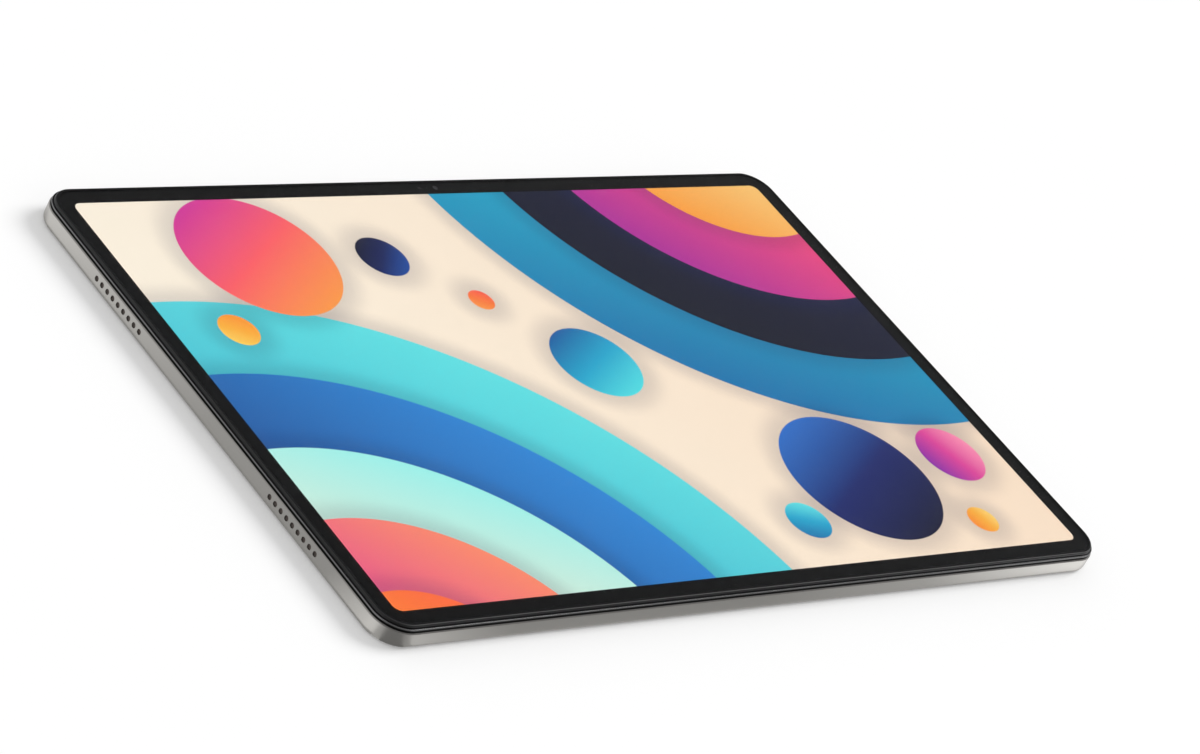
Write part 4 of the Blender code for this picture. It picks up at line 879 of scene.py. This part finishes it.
def build_rear_camera():
    """Rear camera seen through a clear cover: a bright ring, stepped black baffles and a coated lens."""
    (low, high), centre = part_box("rear_camera_ring"), middle_of("rear_camera_ring")
    outer = (high.x - low.x) / 2
    inner = outer - RING_WIDTH
    plan = [(outer, high.z), (outer, low.z + EDGE_BREAK), (outer - EDGE_BREAK, low.z)]
    plan += [(inner + 2 * EDGE_BREAK, low.z), (inner, low.z + 2 * EDGE_BREAK), (inner, high.z)]
    ring = turned("camera_ring", plan, centre, ring=True)
    piece("camera_ring", ring, [diamond_cut], "tablet", ["rear_camera_ring"])
    low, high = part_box("rear_camera_lens")
    radius, depth = (high.x - low.x) / 2, high.z - low.z
    cover = turned("camera_cover", [(radius, low.z), (radius, low.z + COVER_DEPTH * depth)], centre)
    piece("camera_cover", cover, [camera_glass], "tablet", ["rear_camera_lens"])
    start = low.z + BAFFLE_FRONT * depth
    plan = [(radius, high.z), (radius, start)]
    for share, drop in BAFFLE_STEPS:
        plan += [(share * radius, plan[-1][1]), (share * radius, start + drop * depth)]
    plan += [(BAFFLE_BORE * radius, plan[-1][1]), (BAFFLE_BORE * radius, high.z)]
    baffle = turned("camera_baffle", plan, centre, ring=True)
    piece("camera_baffle", baffle, [black_moulded], "tablet")
    reach, rise = REAR_LENS_RADIUS * radius, REAR_LENS_RISE * depth
    dome = quarter_round(-(start + rise), reach, rise)[:-1]
    plan = [(reach, high.z)] + [(reach - inset, -level) for inset, level in dome]
    piece("camera_lens", turned("camera_lens", plan, centre), [lens_glass], "tablet")


def build_flash():
    """Flash cover: a disc with stepped rings in its outer face, which spread the light."""
    (low, high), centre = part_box("flash_lens"), middle_of("flash_lens")
    radius = (high.x - low.x) / 2
    plan = [(radius, high.z), (radius, low.z)]
    for step in range(1, FLASH_RINGS):
        inner = radius * (1 - step / FLASH_RINGS)
        plan += [(inner, low.z + FLASH_RING_DEPTH), (inner, low.z)]
    cover = turned("flash_window", plan, centre)
    piece("flash_window", cover, [flash_cover], "tablet", ["flash_lens"])


def dress_nodes():
    """Finishes of the solids that show as they are, by the first words of their names."""
    finishes = {
        "display_panel": panel, "antenna_window": window_plastic, "antenna_": copper,
        "flash_led": phosphor, "led_strip": phosphor, "backlight_tray": stainless, "light_guide": acrylic,
        "diffuser_sheet": film, "glass_adhesive": foam, "support_plate": sheet_metal,
        "graphite_sheet": graphite, "battery_board": board, "battery_lead": polyimide, "battery_": pouch,
        "main_board": board, "usb_board": board, "main_flex": polyimide, "display_flex": polyimide,
        "key_flex": polyimide, "processor_shield": tinned, "radio_shield": tinned, "processor": epoxy,
        "light_sensor": epoxy, "microphone": tinned, "speaker_": black_moulded,
        "front_camera": black_moulded, "rear_camera": black_moulded, "power_switch": black_moulded,
        "volume_": black_moulded, "key_bracket": stainless, "card_reader": stainless, "screw_": stainless,
    }
    for name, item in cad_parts.items():
        if item.hide_render:
            continue
        found = next(surface for start, surface in finishes.items() if name.startswith(start))
        item.data.materials.clear()
        item.data.materials.append(found)


# Studio, in metres: white floor and surround, a soft key lamp, and paper that only shine and glass show.
# Shades are levels of light by their share of the way across, turns and rises are in degrees,
# and each corner sheet has its first turn, its last turn and its level.
FLOOR_SIZE = 8.0
FLOOR_DROP = 0.05 * MM
FLOOR_LIFT = 0.2
FLOOR_UNEVENNESS = 0.3
FILL_LIGHT = 0.62
KEY_LIGHT = 1.95
KEY_TURN = 0.0
KEY_RISE = 38.0
KEY_SPREAD = 30.0
PAPER_GLOW = 2.0
DARK_CARD = (3.0, 2.0)
DARK_CARD_DISTANCE = 2.0
DARK_SHADES = ((0.35, 0.045), (0.65, 0.011))
FRONT_CARD = (0.7, 0.5)
FRONT_CARD_TURNS = (240.0, 315.0)
FRONT_CARD_RISE = 20.0
FRONT_CARD_DISTANCE = 0.4
FRONT_CARD_SHADES = ((0.0, 0.2), (1.0, 0.16))
SHEET_GAP = 1 * MM
SHEET_REACH = 120 * MM
SHEET_OVERRUN = 40 * MM
SHEET_LIFT = 0.1 * MM
LEFT_SHADES = ((0.0, 0.75), (0.05, 0.7), (0.14, 0.32), (0.4, 0.36), (0.7, 0.58), (0.85, 0.75))
FRONT_SHADES = ((0.0, 0.7), (0.06, 0.5), (0.15, 0.28), (0.45, 0.27), (0.65, 0.4), (0.87, 1.0))
CORNER_SHEETS = ((201.0, 217.0, 0.38), (217.0, 262.0, 0.155), (262.0, 280.0, 0.3))


def direction(turn, rise):
    """A direction from its turn from +X towards +Y and its rise above the floor, in degrees."""
    turn, rise = math.radians(turn), math.radians(rise)
    return Vector((math.cos(turn) * math.cos(rise), math.sin(turn) * math.cos(rise), math.sin(rise)))


def rectangle(low, high, level=0.0):
    """Corners of a level rectangle between two opposite ones."""
    corners = ((low[0], low[1]), (high[0], low[1]), (high[0], high[1]), (low[0], high[1]))
    return [(x, y, level) for x, y in corners]


def seen_directly(tree):
    """1 for rays from the camera and for those that a mirror or a glass sends on."""
    path = add(tree, "ShaderNodeLightPath").outputs
    rays = {0: path["Is Camera Ray"], 1: path["Is Glossy Ray"]}
    either = add(tree, "ShaderNodeMath", rays, operation="MAXIMUM")
    rays = {0: either.outputs[0], 1: path["Is Transmission Ray"]}
    return add(tree, "ShaderNodeMath", rays, operation="MAXIMUM").outputs[0]


def flat(name, corners, surface):
    """A flat piece of the studio through its corners."""
    mesh = bmesh.new()
    mesh.faces.new([mesh.verts.new(corner) for corner in corners])
    made = working(name, mesh)
    made.data.materials.append(surface)
    return made


def lit_paper(name, corners, along, shades):
    """Paper with its own light, which changes along X or Y. It casts no shadow."""
    surface, tree, shader = new_material("paper_lit_" + name, Base_Color=linear("#000000"), Roughness=1.0)
    place = add(tree, "ShaderNodeTexCoord").outputs["Object"]
    spot = add(tree, "ShaderNodeSeparateXYZ", {0: place}).outputs[along]
    reach = [corner["XY".index(along)] for corner in corners]
    ends = {"Value": spot, "From Min": min(reach), "From Max": max(reach)}
    share = add(tree, "ShaderNodeMapRange", ends).outputs["Result"]
    ramp = add(tree, "ShaderNodeValToRGB", {0: share})
    stops = ramp.color_ramp.elements
    for at, _ in shades[1:-1]:
        stops.new(at)
    for stop, (at, level) in zip(stops, shades):
        stop.position = at
        stop.color = (level, level, level, 1.0)
    tree.links.new(ramp.outputs["Color"], shader.inputs["Emission Color"])
    shader.inputs["Specular IOR Level"].default_value = 0.0
    shader.inputs["Emission Strength"].default_value = PAPER_GLOW
    surface.cycles.emission_sampling = "NONE"
    made = flat(name, corners, surface)
    made.visible_camera = made.visible_diffuse = made.visible_shadow = False
    return made


def card(name, size, place, shades):
    """A sheet of lit paper that stands facing the tablet, graded from its lower to its upper edge."""
    half = (size[0] / 2, size[1] / 2)
    made = lit_paper(name, rectangle((-half[0], -half[1]), half), "Y", shades)
    turn, rise, distance = place
    made.location = direction(turn, rise) * distance
    made.rotation_euler = (-made.location).to_track_quat("Z", "Y").to_euler()


def build_floor():
    """Floor of matt white paint, a little brighter to the eye than the light on it, and faintly uneven."""
    painted = grained("floor_paint_matt_white", "#e6e6e6", "#e9e9e9", FLOOR_UNEVENNESS, (0.9, 1.0),
                      Specular_IOR_Level=0.0)
    tree = painted.node_tree
    lift = add(tree, "ShaderNodeMath", {0: seen_directly(tree), 1: FLOOR_LIFT}, operation="MULTIPLY")
    tree.links.new(lift.outputs[0], tree.nodes["Principled BSDF"].inputs["Emission Strength"])
    half = (FLOOR_SIZE / 2, FLOOR_SIZE / 2)
    flat("floor", rectangle((-half[0], -half[1]), half, -FLOOR_DROP), painted)


def build_light():
    """White surround that lights the tablet a little less than it shows, and a soft key lamp."""
    world = bpy.data.worlds.new("white_surround")
    world.use_nodes = True
    scene.world = world
    tree = world.node_tree
    background = tree.nodes["Background"].inputs
    background["Color"].default_value = linear("#ffffff")
    strength = {"Value": seen_directly(tree), "To Min": FILL_LIGHT, "To Max": 1.0}
    level = add(tree, "ShaderNodeMapRange", strength)
    tree.links.new(level.outputs["Result"], background["Strength"])
    lamp = bpy.data.lights.new("key_lamp", "SUN")
    lamp.energy = KEY_LIGHT
    lamp.angle = math.radians(KEY_SPREAD)
    key = bpy.data.objects.new("key_lamp", lamp)
    key.rotation_euler = direction(KEY_TURN, KEY_RISE).to_track_quat("Z", "Y").to_euler()
    scene.collection.objects.link(key)


def build_paper():
    """Cards round the tablet and sheets on the floor beside its near edges, for the lines on its edges."""
    card("dark_card", DARK_CARD, (90 + AZIMUTH, ELEVATION, DARK_CARD_DISTANCE), DARK_SHADES)
    for number, turn in enumerate(FRONT_CARD_TURNS):
        place = (turn, FRONT_CARD_RISE, FRONT_CARD_DISTANCE)
        card("front_card_%d" % number, FRONT_CARD, place, FRONT_CARD_SHADES)
    near_x, near_y = -HALF_X - SHEET_GAP, -HALF_Y - SHEET_GAP
    far_x, far_y = near_x - SHEET_REACH, near_y - SHEET_REACH
    left = rectangle((far_x, near_y), (near_x, HALF_Y + SHEET_OVERRUN), SHEET_LIFT)
    front = rectangle((near_x, far_y), (HALF_X + SHEET_OVERRUN, near_y), SHEET_LIFT)
    lit_paper("left_sheet", left, "Y", LEFT_SHADES)
    lit_paper("front_sheet", front, "X", FRONT_SHADES)
    bend = Vector((CORNER_RADIUS - HALF_X, CORNER_RADIUS - HALF_Y, 2 * SHEET_LIFT))
    for number, (start, end, level) in enumerate(CORNER_SHEETS):
        wedge = [bend] + [bend + direction(turn, 0) * SHEET_REACH for turn in (start, end)]
        lit_paper("corner_sheet_%d" % number, wedge, "X", ((0.0, level), (1.0, level)))


def build_camera():
    """Camera at the photograph's angle."""
    lens = bpy.data.cameras.new("photo_camera")
    lens.sensor_width = SENSOR
    lens.lens = LENS
    made = bpy.data.objects.new("photo_camera", lens)
    scene.collection.objects.link(made)
    turn, rise, roll = (math.radians(angle) for angle in (AZIMUTH, ELEVATION, ROLL))
    back = Vector((math.sin(turn) * math.cos(rise), -math.cos(turn) * math.cos(rise), math.sin(rise)))
    level_right = (-back).cross(Vector((0, 0, 1))).normalized()
    up = back.cross(level_right) * math.cos(roll) + level_right * math.sin(roll)
    axes = Matrix((up.cross(back), up, back)).transposed().to_4x4()
    made.matrix_world = Matrix.Translation(Vector(AIM) + back * DISTANCE) @ axes
    scene.camera = made


scene.view_settings.view_transform = "Standard"
build_camera()
build_housing()
build_bosses()
build_frame()
build_glass()
build_border()
build_keys()
build_tray()
build_port()
build_weave()
build_cloth()
build_rear_camera()
build_flash()
dress_nodes()
build_floor()
build_light()
build_paper()
